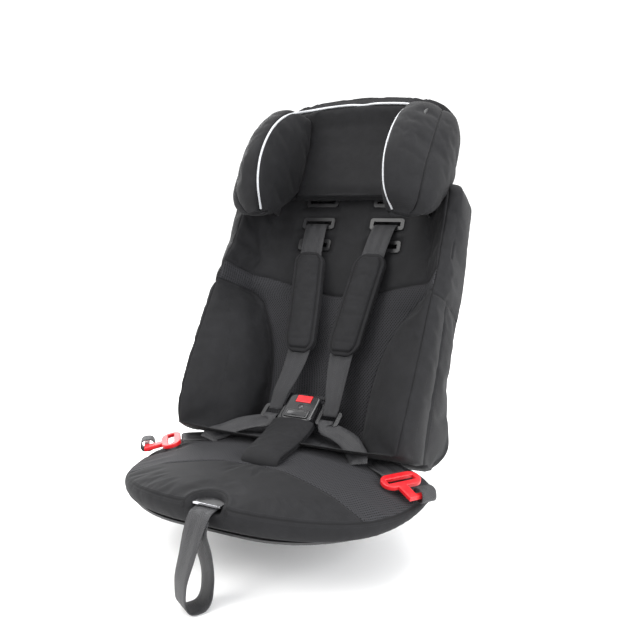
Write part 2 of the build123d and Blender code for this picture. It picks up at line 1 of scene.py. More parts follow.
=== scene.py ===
import bpy
import math
import numpy as np
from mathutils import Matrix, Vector


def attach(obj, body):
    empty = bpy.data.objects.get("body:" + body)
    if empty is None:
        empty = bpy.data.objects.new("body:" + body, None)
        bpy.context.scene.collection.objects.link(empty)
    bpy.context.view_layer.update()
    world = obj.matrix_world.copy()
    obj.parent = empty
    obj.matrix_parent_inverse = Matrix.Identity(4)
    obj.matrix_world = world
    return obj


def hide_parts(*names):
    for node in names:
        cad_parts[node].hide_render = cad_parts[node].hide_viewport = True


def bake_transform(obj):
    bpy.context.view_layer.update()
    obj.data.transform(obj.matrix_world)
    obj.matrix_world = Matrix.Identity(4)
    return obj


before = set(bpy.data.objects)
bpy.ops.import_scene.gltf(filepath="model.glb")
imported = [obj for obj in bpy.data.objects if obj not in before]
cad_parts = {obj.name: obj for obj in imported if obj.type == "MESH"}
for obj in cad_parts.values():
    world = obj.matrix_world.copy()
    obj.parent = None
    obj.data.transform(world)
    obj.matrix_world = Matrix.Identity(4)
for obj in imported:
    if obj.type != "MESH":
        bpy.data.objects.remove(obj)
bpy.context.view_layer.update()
bpy.ops.object.select_all(action="DESELECT")

# ---- Studio -------------------------------------------------------------------
# A pale seamless floor and four soft lamps round the seat. The camera stands
# in front of the seat at the child's left hand, a little above the headrest.
scene = bpy.context.scene
scene.view_settings.view_transform = "Standard"
camera = bpy.data.objects.new("studio_camera", bpy.data.cameras.new("studio_camera"))
scene.collection.objects.link(camera)
camera.location = (0.4518, -0.7981, 0.3838)
camera.rotation_mode = "QUATERNION"
camera.rotation_quaternion = Vector((-0.4266, 0.8912, -0.1535)).to_track_quat("-Z", "Y")
camera.data.sensor_width = 36
camera.data.lens = 39.375
camera.data.shift_x = 0.0031
camera.data.shift_y = -0.0100
scene.camera = camera

for name, place, size, power, tint in (
    ("key_lamp", (-1.3, -1.9, 2.3), 1.7, 62, (1.0, 0.99, 0.97)),
    ("side_lamp", (2.3, -0.7, 1.1), 1.5, 50, (0.97, 0.98, 1.0)),
    ("top_lamp", (0.1, 0.5, 2.7), 2.0, 48, (1.0, 1.0, 1.0)),
    ("rim_lamp", (-1.6, 1.3, 1.3), 1.2, 26, (0.98, 0.99, 1.0)),
):
    lamp = bpy.data.objects.new(name, bpy.data.lights.new(name, "AREA"))
    scene.collection.objects.link(lamp)
    lamp.location = place
    lamp.rotation_mode = "QUATERNION"
    lamp.rotation_quaternion = (Vector((0, 0.1, 0.25)) - Vector(place)).to_track_quat("-Z", "Y")
    lamp.data.size = size
    lamp.data.energy = power
    lamp.data.color = tint

world = bpy.data.worlds.new("studio_air")
scene.world = world
world.use_nodes = True
world.node_tree.nodes["Background"].inputs[0].default_value = (1.0, 1.0, 1.0, 1)
world.node_tree.nodes["Background"].inputs[1].default_value = 1.25

FLOOR = -0.0785
bpy.ops.mesh.primitive_plane_add(size=16, location=(0, 0, FLOOR))
floor = bpy.context.object
floor.name = "studio_floor"
floor_paint = bpy.data.materials.new("floor_paint")
floor_paint.use_nodes = True
paint = floor_paint.node_tree.nodes["Principled BSDF"]
paint.inputs["Base Color"].default_value = (0.97, 0.97, 0.97, 1)
paint.inputs["Roughness"].default_value = 0.95
paint.inputs["Specular IOR Level"].default_value = 0.1
floor.data.materials.append(floor_paint)


# ---- Base cushion -------------------------------------------------------------
# A foam cushion over the base shell, in a sewn cover: a knitted top, an open
# spacer mesh under the child and a knitted band round the edge, which droops at
# the sides. An arch in the front edge lets the pull strap out.
def group(name, sockets_in, sockets_out):
    """Empty shader group with the named inputs and outputs."""
    tree = bpy.data.node_groups.new(name, "ShaderNodeTree")
    for socket, kind, value in sockets_in:
        made = tree.interface.new_socket(socket, in_out="INPUT", socket_type=kind)
        if value is not None:
            made.default_value = value
    for socket, kind in sockets_out:
        tree.interface.new_socket(socket, in_out="OUTPUT", socket_type=kind)
    return tree, tree.nodes.new("NodeGroupInput"), tree.nodes.new("NodeGroupOutput")


def calc(tree, operation, a, b=None):
    """One Math node fed by sockets or numbers."""
    node = tree.nodes.new("ShaderNodeMath")
    node.operation = operation
    for i, value in enumerate((a, b)):
        if value is None:
            continue
        if isinstance(value, (int, float)):
            node.inputs[i].default_value = value
        else:
            tree.links.new(value, node.inputs[i])
    return node.outputs[0]


def noise(tree, vector, scale, detail=2, roughness=0.5):
    """Noise texture's value at a vector."""
    node = tree.nodes.new("ShaderNodeTexNoise")
    node.inputs["Detail"].default_value = detail
    node.inputs["Roughness"].default_value = roughness
    tree.links.new(vector, node.inputs["Vector"])
    if isinstance(scale, (int, float)):
        node.inputs["Scale"].default_value = scale
    else:
        tree.links.new(scale, node.inputs["Scale"])
    return node.outputs[0]


def ramp(tree, value, low, high, start=0.0, end=1.0, smooth=False):
    """Value carried from low..high to start..end, held beyond them."""
    node = tree.nodes.new("ShaderNodeMapRange")
    if smooth:
        node.interpolation_type = "SMOOTHSTEP"
    for socket, number in (("From Min", low), ("From Max", high), ("To Min", start), ("To Max", end)):
        node.inputs[socket].default_value = number
    tree.links.new(value, node.inputs["Value"])
    return node.outputs[0]


def parts_of(tree, vector):
    """A vector's first two parts."""
    node = tree.nodes.new("ShaderNodeSeparateXYZ")
    tree.links.new(vector, node.inputs[0])
    return node.outputs[0], node.outputs[1]


def give(tree, node, **sockets):
    """Links values to a node's named inputs."""
    for socket, value in sockets.items():
        tree.links.new(value, node.inputs[socket.replace("_", " ")])


def new_material(name):
    """Material, its tree, its shader and the object's own coordinates."""
    made = bpy.data.materials.new(name)
    made.use_nodes = True
    tree = made.node_tree
    return made, tree, tree.nodes["Principled BSDF"], tree.nodes.new("ShaderNodeTexCoord").outputs["Object"]


TURN, HALF_TURN = 6.2832, 3.1416


def knit_group():
    """Fine knit: rows of small loops, and a slow change of tone as in dyed cloth."""
    tree, given, result = group(
        "fine_knit",
        [("Vector", "NodeSocketVector", None), ("Loops", "NodeSocketFloat", 700.0)],
        [("Height", "NodeSocketFloat"), ("Tone", "NodeSocketFloat")],
    )
    x, y = parts_of(tree, given.outputs["Vector"])
    across = calc(tree, "MULTIPLY", x, given.outputs["Loops"])
    along = calc(tree, "MULTIPLY", y, given.outputs["Loops"])
    wale = calc(tree, "SINE", calc(tree, "MULTIPLY", across, TURN))
    bend = calc(tree, "MULTIPLY", wale, 0.22)
    course = calc(tree, "SINE", calc(tree, "MULTIPLY", calc(tree, "ADD", along, bend), TURN))
    loops = calc(tree, "MULTIPLY", calc(tree, "ADD", wale, course), 0.25)
    fuzz = noise(tree, given.outputs["Vector"], 900)
    slow = noise(tree, given.outputs["Vector"], 16, 4)
    height = calc(tree, "ADD", loops, calc(tree, "MULTIPLY", fuzz, 0.5))
    give(tree, result, Height=height, Tone=calc(tree, "ADD", calc(tree, "MULTIPLY", loops, 0.3), slow))
    return tree


def mesh_group():
    """Open spacer mesh: staggered holes between slanted threads."""
    tree, given, result = group(
        "spacer_mesh",
        [("Vector", "NodeSocketVector", None), ("Cells", "NodeSocketFloat", 235.0)],
        [("Height", "NodeSocketFloat"), ("Hole", "NodeSocketFloat")],
    )
    x, y = (
        calc(
            tree, "MULTIPLY", part, given.outputs["Cells"]
        ) for part in parts_of(tree, given.outputs["Vector"])
    )
    rising = calc(tree, "SINE", calc(tree, "MULTIPLY", calc(tree, "ADD", x, y), HALF_TURN))
    slant = calc(tree, "SUBTRACT", x, calc(tree, "MULTIPLY", y, 0.62))
    falling = calc(tree, "SINE", calc(tree, "MULTIPLY", slant, TURN))
    falling = calc(tree, "ADD", calc(tree, "MULTIPLY", falling, 0.5), 0.5)
    hole = ramp(
        tree, calc(tree, "MULTIPLY", calc(tree, "ABSOLUTE", rising), falling), 0.34, 0.62, smooth=True
    )
    give(tree, result, Height=calc(tree, "SUBTRACT", 1.0, hole), Hole=hole)
    return tree


def sewing_group():
    """Seams from a signed distance: painted shade and a sunk groove along the seam's fold, and a row of
    stitches beside it.
    """
    tree, given, result = group(
        "sewing",
        [("Distance", "NodeSocketFloat", 1.0), ("Along", "NodeSocketFloat", 0.0)],
        [("Fold", "NodeSocketFloat"), ("Stitch", "NodeSocketFloat")],
    )
    off = calc(tree, "ABSOLUTE", given.outputs["Distance"])
    # Fold mask: it drives the painted shade that darkens the cloth along the seam, and the seam's sunk bump.
    fold = ramp(tree, off, 0.0003, 0.0021, 1.0, 0.0, smooth=True)
    line = calc(tree, "ABSOLUTE", calc(tree, "SUBTRACT", off, 0.0042))
    row = ramp(tree, line, 0.0003, 0.0007, 1.0, 0.0)
    dash = calc(tree, "SINE", calc(tree, "MULTIPLY", given.outputs["Along"], 1900.0))
    dash = calc(tree, "GREATER_THAN", dash, -0.45)
    give(tree, result, Fold=fold, Stitch=calc(tree, "MULTIPLY", row, dash))
    return tree


def dust_group():
    """Uneven lightening, as lint and handling leave on dark cloth and plastic."""
    tree, given, result = group(
        "lint",
        [("Vector", "NodeSocketVector", None), ("Amount", "NodeSocketFloat", 0.2)],
        [("Mask", "NodeSocketFloat")],
    )
    lift = ramp(tree, noise(tree, given.outputs["Vector"], 55, 5, 0.65), 0.42, 0.72)
    give(tree, result, Mask=calc(tree, "MULTIPLY", lift, given.outputs["Amount"]))
    return tree


KNIT, MESH, SEWING, LINT = knit_group(), mesh_group(), sewing_group(), dust_group()


def use(tree, made, **links):
    """A group node in a material, its inputs linked or set."""
    node = tree.nodes.new("ShaderNodeGroup")
    node.node_tree = made
    for socket, value in links.items():
        if isinstance(value, (int, float)):
            node.inputs[socket].default_value = value
        else:
            tree.links.new(value, node.inputs[socket])
    return node


def blend_colours(tree, amount, first, second):
    node = tree.nodes.new("ShaderNodeMix")
    node.data_type = "RGBA"
    tree.links.new(amount, node.inputs[0])
    for socket, value in ((6, first), (7, second)):
        if isinstance(value, tuple):
            node.inputs[socket].default_value = (*value, 1)
        else:
            tree.links.new(value, node.inputs[socket])
    return node.outputs[2]


def bump(tree, shader, height, distance, strength=1.0):
    node = tree.nodes.new("ShaderNodeBump")
    node.inputs["Distance"].default_value = distance
    node.inputs["Strength"].default_value = strength
    tree.links.new(height, node.inputs["Height"])
    tree.links.new(node.outputs[0], shader.inputs["Normal"])


# Near-black colour painted along the seams as shade in their grooves.
SEAM_SHADE_COLOUR = (0.003, 0.003, 0.0035)


def times(colour, share):
    return tuple(part * share for part in colour)


def cover_cloth(name, dark, light, sheen=0.03):
    """Sewn cover: fine knit, with spacer mesh where mesh_edge is above nought."""
    made, tree, shader, where = new_material(name)
    uv = tree.nodes.new("ShaderNodeUVMap")
    uv.uv_map = "cloth"
    knit = use(tree, KNIT, Vector=uv.outputs[0], Loops=620.0)
    lint = use(tree, LINT, Vector=where, Amount=0.3)
    seam = tree.nodes.new("ShaderNodeAttribute")
    seam.attribute_name = "seam"
    sewn = use(
        tree, SEWING, Distance=seam.outputs["Fac"],
        Along=calc(tree, "ADD", *parts_of(tree, uv.outputs[0]))
    )
    colour = blend_colours(tree, knit.outputs["Tone"], dark, light)
    colour = blend_colours(tree, lint.outputs["Mask"], colour, times(light, 1.7))
    height = calc(tree, "MULTIPLY", knit.outputs["Height"], 0.25)
    net = use(tree, MESH, Vector=uv.outputs[0])
    edge = tree.nodes.new("ShaderNodeAttribute")
    edge.attribute_name = "mesh_edge"
    netted = ramp(tree, edge.outputs["Fac"], -0.0006, 0.0006)
    thread = blend_colours(tree, net.outputs["Hole"], times(light, 2.6), times(dark, 0.15))
    colour = blend_colours(tree, netted, colour, thread)
    mix = tree.nodes.new("ShaderNodeMix")
    for socket, value in enumerate((netted, height, net.outputs["Height"])):
        tree.links.new(value, mix.inputs[(0, 2, 3)[socket]])
    height = mix.outputs[0]
    # Painted shade: the cloth is darkened along each seam's groove.
    colour = blend_colours(tree, calc(tree, "MULTIPLY", sewn.outputs["Fold"], 0.72), colour, SEAM_SHADE_COLOUR)
    colour = blend_colours(
        tree, calc(tree, "MULTIPLY", sewn.outputs["Stitch"], 0.35), colour, times(light, 1.6)
    )
    rough = calc(tree, "ADD", calc(tree, "MULTIPLY", knit.outputs["Tone"], 0.16), 0.66)
    give(tree, shader, Base_Color=colour, Roughness=rough)
    shader.inputs["Specular IOR Level"].default_value = 0.2
    shader.inputs["Sheen Weight"].default_value = sheen
    shader.inputs["Sheen Roughness"].default_value = 0.42
    height = calc(tree, "SUBTRACT", height, calc(tree, "MULTIPLY", sewn.outputs["Fold"], 0.6))
    height = calc(tree, "ADD", height, calc(tree, "MULTIPLY", sewn.outputs["Stitch"], 0.5))
    bump(tree, shader, height, 0.0007, 0.75)
    return made


charcoal_cover = cover_cloth("charcoal_cover", (0.0055, 0.0055, 0.0062), (0.0105, 0.0105, 0.0118))


def follow(knots, values, wanted):
    """Smooth curve through the values that never overshoots them."""
    k = np.asarray(knots, float)
    y = np.asarray(values, float)
    h = np.diff(k)
    slope = np.diff(y, axis=0) / h.reshape(-1, *[1] * (y.ndim - 1))
    m = np.zeros_like(y)
    a, b = slope[:-1], slope[1:]
    same = a * b > 0
    safe = np.where(same, a + b, 1)
    m[1:-1] = np.where(same, 2 * a * b / safe, 0)
    m[0], m[-1] = slope[0], slope[-1]
    i = np.clip(np.searchsorted(k, wanted, side="right") - 1, 0, len(h) - 1)
    shape = (-1, *[1] * (y.ndim - 1))
    span = h[i].reshape(shape)
    t = ((np.asarray(wanted, float) - k[i]) / h[i]).reshape(shape)
    return (
        (2 * t**3 - 3 * t**2 + 1) * y[i] + (t**3 - 2 * t**2 + t) * span * m[i]
        + (-2 * t**3 + 3 * t**2) * y[i + 1] + (t**3 - t**2) * span * m[i + 1]
    )


def run_of(line):
    """Distance run at each point of a line."""
    return np.concatenate([[0], np.cumsum(np.linalg.norm(np.diff(line, axis=0), axis=1))])


def eased(path, rounds):
    """Takes the corners off a line, its ends kept."""
    for _ in range(rounds):
        path[1:-1] = path[1:-1] * 0.5 + (path[2:] + path[:-2]) * 0.25
    return path


def skin(name, rows, uv, marks):
    """Mesh through closed rings of points, in metres, with the cloth map and attributes.

    Each end ring is sewn shut, its first half to its second."""
    rows = np.asarray(rows, float)
    count, across = rows.shape[:2]
    points = rows.reshape(-1, 3)
    uv = np.asarray(uv, float)
    faces, maps = [], []
    for r in range(count - 1):
        for c in range(across):
            n = (c + 1) % across
            faces.append((r * across + c, r * across + n, (r + 1) * across + n, (r + 1) * across + c))
            maps.append((uv[r, c], uv[r, c + 1], uv[r + 1, c + 1], uv[r + 1, c]))
    for r, turn in ((0, -1), (count - 1, 1)):
        for c in range(across // 2):
            ring = (c, c + 1, (across - c - 1) % across, (across - c) % across)
            loop = list(dict.fromkeys(r * across + i for i in ring))
            if len(loop) < 3:
                continue
            faces.append(tuple(loop[::-1]) if turn < 0 else tuple(loop))
            maps.append(tuple(uv[r, p - r * across] for p in faces[-1]))
    mesh = bpy.data.meshes.new(name)
    mesh.from_pydata(points.tolist(), [], faces)
    layer = mesh.uv_layers.new(name="cloth")
    layer.data.foreach_set("uv", np.concatenate([np.ravel(m) for m in maps]))
    for key, values in marks.items():
        flat = np.asarray(values, np.float32).reshape(-1)
        mesh.attributes.new(key, "FLOAT", "POINT").data.foreach_set("value", flat)
    mesh.update()
    piece = bpy.data.objects.new(name, mesh)
    scene.collection.objects.link(piece)
    return piece


def points_of(mesh):
    out = np.empty(len(mesh.vertices) * 3)
    mesh.vertices.foreach_get("co", out)
    return out.reshape(-1, 3)


def put(piece, points):
    """Moves a piece's points."""
    piece.data.vertices.foreach_set("co", np.asarray(points, float).ravel())
    piece.data.update()


def powered(values, power):
    return np.sign(values) * np.abs(values) ** power


def nearer(a, b):
    """Whichever distance is smaller, with its sign."""
    return np.where(np.abs(a) < np.abs(b), a, b)


def normals_of(mesh):
    out = np.empty(len(mesh.vertices) * 3, np.float32)
    mesh.vertex_normals.foreach_get("vector", out)
    return out.reshape(-1, 3).astype(float)


def marks_of(mesh, key):
    out = np.empty(len(mesh.vertices), np.float32)
    mesh.attributes[key].data.foreach_get("value", out)
    return out.astype(float)


def pick(piece):
    """Makes a piece the only one selected."""
    bpy.ops.object.select_all(action="DESELECT")
    piece.select_set(True)
    bpy.context.view_layer.objects.active = piece


def outward(piece):
    """Turns every face outwards."""
    pick(piece)
    bpy.ops.object.mode_set(mode="EDIT")
    bpy.ops.mesh.select_all(action="SELECT")
    bpy.ops.mesh.normals_make_consistent(inside=False)
    bpy.ops.object.mode_set(mode="OBJECT")
    piece.select_set(False)


def finer(piece):
    """One more smooth subdivision, applied."""
    pick(piece)
    smooth = piece.modifiers.new("finer", "SUBSURF")
    smooth.levels = smooth.render_levels = 1
    smooth.uv_smooth = "NONE"
    bpy.ops.object.modifier_apply(modifier=smooth.name)
    piece.select_set(False)


def stuff(piece, held, pressure, most, frames=14, slack=-0.012):
    """Fills a sewn cover: cloth under pressure from inside, held along its seams.

    held is 1 where the cloth can't move, and most is how far a point may go."""
    start = points_of(piece.data)
    trial = piece.copy()
    trial.data = piece.data.copy()
    scene.collection.objects.link(trial)
    grip = trial.vertex_groups.new(name="held")
    for i, value in enumerate(held):
        grip.add([i], float(min(max(value, 0), 1)), "REPLACE")
    cloth = trial.modifiers.new("cloth", "CLOTH")
    cloth.settings.quality = 5
    cloth.settings.mass = 0.25
    cloth.settings.tension_stiffness = 14
    cloth.settings.compression_stiffness = 14
    cloth.settings.shear_stiffness = 6
    cloth.settings.bending_stiffness = 0.6
    cloth.settings.use_pressure = True
    cloth.settings.uniform_pressure_force = pressure
    cloth.settings.vertex_group_mass = grip.name
    cloth.settings.shrink_min = slack
    cloth.settings.effector_weights.gravity = 0
    cloth.collision_settings.use_collision = False
    cloth.point_cache.frame_start = 1
    cloth.point_cache.frame_end = frames
    for f in range(1, frames + 1):
        scene.frame_set(f)
    blown = trial.evaluated_get(bpy.context.evaluated_depsgraph_get()).to_mesh()
    moved = points_of(blown) - start
    trial.evaluated_get(bpy.context.evaluated_depsgraph_get()).to_mesh_clear()
    size = np.linalg.norm(moved, axis=1)
    keep = np.where(size > most, most / np.maximum(size, 1e-9), 1)
    put(piece, (start + moved * keep[:, None]))
    bpy.data.objects.remove(trial)
    scene.frame_set(1)
    piece.data.update()


def sew(piece, depth=0.0016, width=0.0022, rise=0.0, reach=0.014):
    """Pulls the cloth in along its seams and lets it round up beside them."""
    off = np.abs(marks_of(piece.data, "seam"))
    push = rise * (1 - np.exp(-off / reach)) - depth * np.exp(-((off / width) ** 2))
    moved = points_of(piece.data) + normals_of(piece.data) * push[:, None]
    put(piece, moved)


def finish_cover(piece, material, body, nodes):
    piece.data.materials.append(material)
    piece.data.shade_smooth()
    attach(piece, body)
    if nodes:
        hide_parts(*nodes)


SEAT_HALF, SEAT_FRONT, SEAT_WIDEST, SEAT_REAR = 0.210, -0.161, 0.046, 0.103
NOTCH_R, NOTCH_FLOOR = 0.0245, 0.0300


def seat_top(x, y):
    """Height of the cushion's top: crowned across, and let down at the front."""
    return 0.0452 - 0.0265 * (x / SEAT_HALF) ** 2 - 0.0025 * np.clip((-y - 0.11) / 0.05, 0, 1) ** 2


angles = np.linspace(0, 2 * np.pi, 300, endpoint=False) - np.pi / 2
c, s = np.cos(angles), np.sin(angles)
reach_y = np.where(s < 0, SEAT_WIDEST - SEAT_FRONT, SEAT_REAR - SEAT_WIDEST)
edge_x = SEAT_HALF * powered(c, (2 / 2.45))
edge_y = SEAT_WIDEST + reach_y * powered(s, (2 / 2.45))
turn = np.stack([np.gradient(edge_y), -np.gradient(edge_x)], -1)
turn /= np.linalg.norm(turn, axis=1)[:, None]
rows, seam_rows, held_rows = [], [], []
low_edge = np.maximum(0.0105 - 0.013 * (edge_x / SEAT_HALF) ** 2, 0.0006)
seam_z = seat_top(edge_x, edge_y) - 0.0035
middle = np.array([0.0, -0.03])
for k in np.concatenate([np.linspace(0.03, 0.9, 24), [0.93, 0.955, 0.975]]):
    x = middle[0] + k * (edge_x - middle[0])
    y = middle[1] + k * (edge_y - middle[1])
    z = seat_top(x, y) - 0.0035 * np.clip((k - 0.86) / 0.14, 0, 1) ** 2 + 0.002 * (1 - k)
    rows.append(np.stack([x, y, z], -1))
    off = np.hypot(edge_x - x, edge_y - y)
    seam_rows.append(off)
    held_rows.append(np.zeros_like(x))
for inset, share, hold in ((0.0, 1.0, 1.0), (-0.0018, 0.86, 0.3), (-0.0028, 0.6, 0.0), (-0.0022, 0.35, 0.0),
                           (0.0, 0.14, 0.4), (0.003, 0.0, 1.0), (0.011, -0.04, 1.0)):
    x = edge_x - turn[:, 0] * inset
    y = edge_y - turn[:, 1] * inset
    z = low_edge + (seam_z - low_edge) * share
    rows.append(np.stack([x, y, np.maximum(z, 0.0004)], -1))
    seam_rows.append(np.abs(1 - share) * (seam_z - low_edge) * -1)
    held_rows.append(np.full_like(x, hold))
for k in (0.86, 0.6, 0.3, 0.05):
    x = middle[0] + k * (edge_x - middle[0])
    y = middle[1] + k * (edge_y - middle[1])
    rows.append(np.stack([x, y, np.full_like(x, 0.0004)], -1))
    seam_rows.append(np.full_like(x, -0.05))
    held_rows.append(np.ones_like(x))
rows = np.array(rows)
seam_rows = np.array(seam_rows)
flat = rows[..., :2].copy()
drop = np.maximum(0, 0.9 * (seam_z[None, :] - rows[..., 2]) * (seam_rows < 0))
flat += turn[None] * drop[..., None]
flat = np.concatenate([flat, flat[:, :1]], axis=1)
seat_cover = skin("seat_cover", rows, flat, {"seam": seam_rows, "mesh_edge": seam_rows * 0})
outward(seat_cover)
held = np.array(held_rows).ravel()
place = points_of(seat_cover.data)
held = np.maximum(held, np.hypot(place[:, 0], place[:, 1] + 0.161) < 0.034)
held = np.maximum(held, (np.abs(place[:, 0]) < 0.026) & (np.abs(place[:, 1] + 0.031) < 0.008))
stuff(seat_cover, held, 0.9, 0.004)
finer(seat_cover)
place = points_of(seat_cover.data)
seam = marks_of(seat_cover.data, "seam")
round_notch = np.hypot(place[:, 0], place[:, 1] - SEAT_FRONT)
on_top = place[:, 2] > NOTCH_FLOOR
sunk = np.clip((NOTCH_R - round_notch) / 0.003, 0, 1) * on_top
place[:, 2] = place[:, 2] * (1 - sunk) + NOTCH_FLOOR * sunk
lip = np.exp(-(((round_notch - NOTCH_R - 0.005) / 0.004) ** 2)) * on_top
place[:, 2] += 0.0016 * lip
put(seat_cover, place)
near_notch = (round_notch < 0.05) & (np.abs(place[:, 0]) < 0.032) & on_top
seam = np.where(near_notch & (np.abs(round_notch - 0.0275) < np.abs(seam)), round_notch - 0.0275, seam)
seam = np.where((np.abs(place[:, 0]) < 0.026) & (round_notch < 0.025), 0.05, seam)
border = place[:, 1] - (-0.040 - 0.062 * np.clip(np.abs(place[:, 0]) / 0.2, 0, 1.2) ** 1.15)
edge = np.minimum(border * 0.93, np.where(seam > 0, seam, -0.05))
upper = seam > 0
edge = np.where(upper, edge, -0.05)
seam = np.where(upper & (np.abs(border) < np.abs(seam)), border, seam)
seat_cover.data.attributes["seam"].data.foreach_set("value", seam.astype(np.float32))
seat_cover.data.attributes["mesh_edge"].data.foreach_set("value", edge.astype(np.float32))
sew(seat_cover, 0.0015, 0.0024)
finish_cover(seat_cover, charcoal_cover, "base", ["seat_cushion"])

# ---- Back cover ---------------------------------------------------------------
# One sewn cover over the foam of the back: a knitted upper panel, spacer mesh
# behind the child, two deep side bolsters and a band round the side, all pulled
# in at their seams. It is drawn over the shell and hemmed behind it.
RECLINE = math.radians(26.5)
UP = np.array([0.0, math.sin(RECLINE), math.cos(RECLINE)])
OUT = np.array([0.0, -math.cos(RECLINE), math.sin(RECLINE)])
FOOT = np.array([0.0, 0.1013, 0.0])
PIVOT_Y = 0.128


def on_back(x, v, w):
    """Place in metres from millimetres across, up the slope and out of it."""
    x, v, w = np.broadcast_arrays(*(np.asarray(a, float) / 1000 for a in (x, v, w)))
    place = FOOT + v[..., None] * UP + w[..., None] * OUT
    place[..., 0] += x
    return place


LEVELS = (18, 60, 110, 160, 205, 240, 262, 290, 330, 380, 420, 445, 458)
MID_W = (0, 0, 0, 0, 0, 0, 0, 1, 0, -1, -2, -2, -2)
BACK_LINES = (
    # share of the half round, across, forward
    (0.00, (0,) * 13, MID_W),
    (0.11, (42, 42, 43, 45, 52, 60, 66, 66, 64, 62, 60, 58, 50), (0, 0, 0, 0, 1, 1, 2, 3, 1, 0, -1, -1, -1)),
    (
        0.20, (85, 84, 86, 92, 106, 128, 150, 150, 140, 130, 125, 120, 100),
        (2, 2, 2, 2, 3, 5, 16, 24, 16, 10, 7, 5, 0)
    ),
    (
        0.31, (112, 112, 113, 118, 131, 148, 161, 164, 158, 150, 145, 138, 112),
        (60, 60, 58, 56, 52, 50, 50, 50, 38, 26, 20, 14, 3)
    ),
    (
        0.41, (170, 175, 177, 178, 178, 178, 178, 178, 175, 174, 172, 154, 130),
        (98, 106, 103, 97, 91, 86, 82, 76, 67, 62, 58, 36, 8)
    ),
    (
        0.50, (186, 190, 192, 193, 193, 192, 192, 191, 190, 190, 189, 176, 152),
        (20, 40, 48, 49, 50, 51, 51, 51, 51, 53, 52, 28, 4)
    ),
    (
        0.58, (180, 194, 191, 190, 190, 190, 190, 190, 190, 190, 189, 178, 154),
        (-30, -60, -28, -13, -12, -16, -20, -20, -16, -10, -10, -14, -18)
    ),
    (
        0.64, (170, 188, 186, 184, 184, 184, 184, 184, 184, 184, 182, 172, 154),
        (-40, -68, -46, -35, -34, -36, -38, -38, -36, -34, -34, -34, -33)
    ),
    (
        0.70, (146, 156, 160, 160, 160, 160, 160, 160, 160, 158, 154, 144, 130),
        (-38, -62, -50, -46, -46, -46, -46, -46, -46, -45, -43, -41, -37)
    ),
    (1.00, (0,) * 13, (-36, -56, -49, -48, -48, -48, -48, -48, -48, -47, -46, -43, -37)),
)
levels = np.concatenate([np.linspace(18, 445, 84), [450, 454.5, 458]])
shares = np.concatenate(
    [np.linspace(0, 0.2, 17)[:-1], np.linspace(0.2, 0.58, 44)[:-1], np.linspace(0.58, 1, 26)]
)


def ring_lines(lines, levels):
    return (
        np.stack([follow(LEVELS, line[1], levels) for line in lines]),
        np.stack([follow(LEVELS, line[2], levels) for line in lines]),
    )


line_x, line_w = ring_lines(BACK_LINES, levels)
knots = [line[0] for line in BACK_LINES]
half_x = follow(knots, line_x, shares).T
half_w = follow(knots, line_w, shares).T
whole_x = np.concatenate([half_x, -half_x[:, -2:0:-1]], axis=1)
whole_w = np.concatenate([half_w, half_w[:, -2:0:-1]], axis=1)
round_share = np.concatenate([shares, shares[-2:0:-1]])
rows = on_back(whole_x, levels[:, None], whole_w)
step = np.linalg.norm(np.diff(rows, axis=1, append=rows[:, :1]), axis=2)
length = np.concatenate([np.zeros((len(levels), 1)), np.cumsum(step, axis=1)], axis=1)
flat = np.stack([length, np.broadcast_to(levels[:, None] / 1000, length.shape)], -1)

# Seams seen from the front, as (across, up) in millimetres.
MESH_SHAPE = np.array([
    (0, 266), (50, 272), (92, 282), (130, 288), (150, 289), (186, 294), (186, 259), (150, 262), (140, 256),
    (130, 247), (117, 224), (105, 200), (96, 175), (90, 150), (85, 110), (84, 60), (85, 0), (0, 0),
], float)


def gap_to(line, x, v, closed=False):
    """Distance in metres from points to a drawn line, in millimetres."""
    ends = np.roll(line, -1, axis=0) if closed else line[1:]
    starts = line if closed else line[:-1]
    best = np.full(x.shape, 1e9)
    for a, b in zip(starts, ends):
        d = b - a
        t = np.clip(((x - a[0]) * d[0] + (v - a[1]) * d[1]) / (d @ d), 0, 1)
        best = np.minimum(best, np.hypot(x - a[0] - t * d[0], v - a[1] - t * d[1]))
    return best / 1000


def inside(line, x, v):
    """Which points lie in a closed drawn line."""
    count = np.zeros(x.shape, int)
    for a, b in zip(line, np.roll(line, -1, axis=0)):
        cross = (a[1] > v) != (b[1] > v)
        at = a[0] + (v - a[1]) * (b[0] - a[0]) / (b[1] - a[1] if b[1] != a[1] else 1)
        count += cross & (x < at)
    return count % 2 == 1


def mark(piece, key, values):
    attribute = piece.data.attributes.get(key) or piece.data.attributes.new(key, "FLOAT", "POINT")
    attribute.data.foreach_set("value", np.asarray(values, np.float32).ravel())


def back_seams(piece):
    """Marks the cover's seams and its mesh from each point's place."""
    share, up = marks_of(piece.data, "share"), marks_of(piece.data, "up")
    x = np.abs(points_of(piece.data)[:, 0]) * 1000
    front = share < 0.41
    off = gap_to(MESH_SHAPE[:-2], x, up)
    edge = np.where(inside(MESH_SHAPE, x, up), off, -off)
    crest = (share - 0.41) * 0.62
    edge = np.where(front, np.minimum(edge, -crest), -0.05)
    seam = np.where(front, off, 0.05)
    seam = nearer(crest, seam)
    side = (share - 0.5) * 0.58
    seam = np.where((np.abs(side) < np.abs(seam)) & (up < 254), side, seam)
    band = (up - 254 + 4 * (share - 0.41) * 10) / 1000
    seam = np.where((share >= 0.41) & (share < 0.6) & (np.abs(band) < np.abs(seam)), band, seam)
    hem = (share - 0.64) * 0.55
    seam = nearer(hem, seam)
    slit = gap_to(np.array([(0, 318), (0, 340)], float), (share - 0.49) * 560, up)
    seam = np.where((slit < np.abs(seam)) & (share > 0.42) & (points_of(piece.data)[:, 0] > 0), slit, seam)
    mark(piece, "mesh_edge", edge)
    mark(piece, "seam", seam)


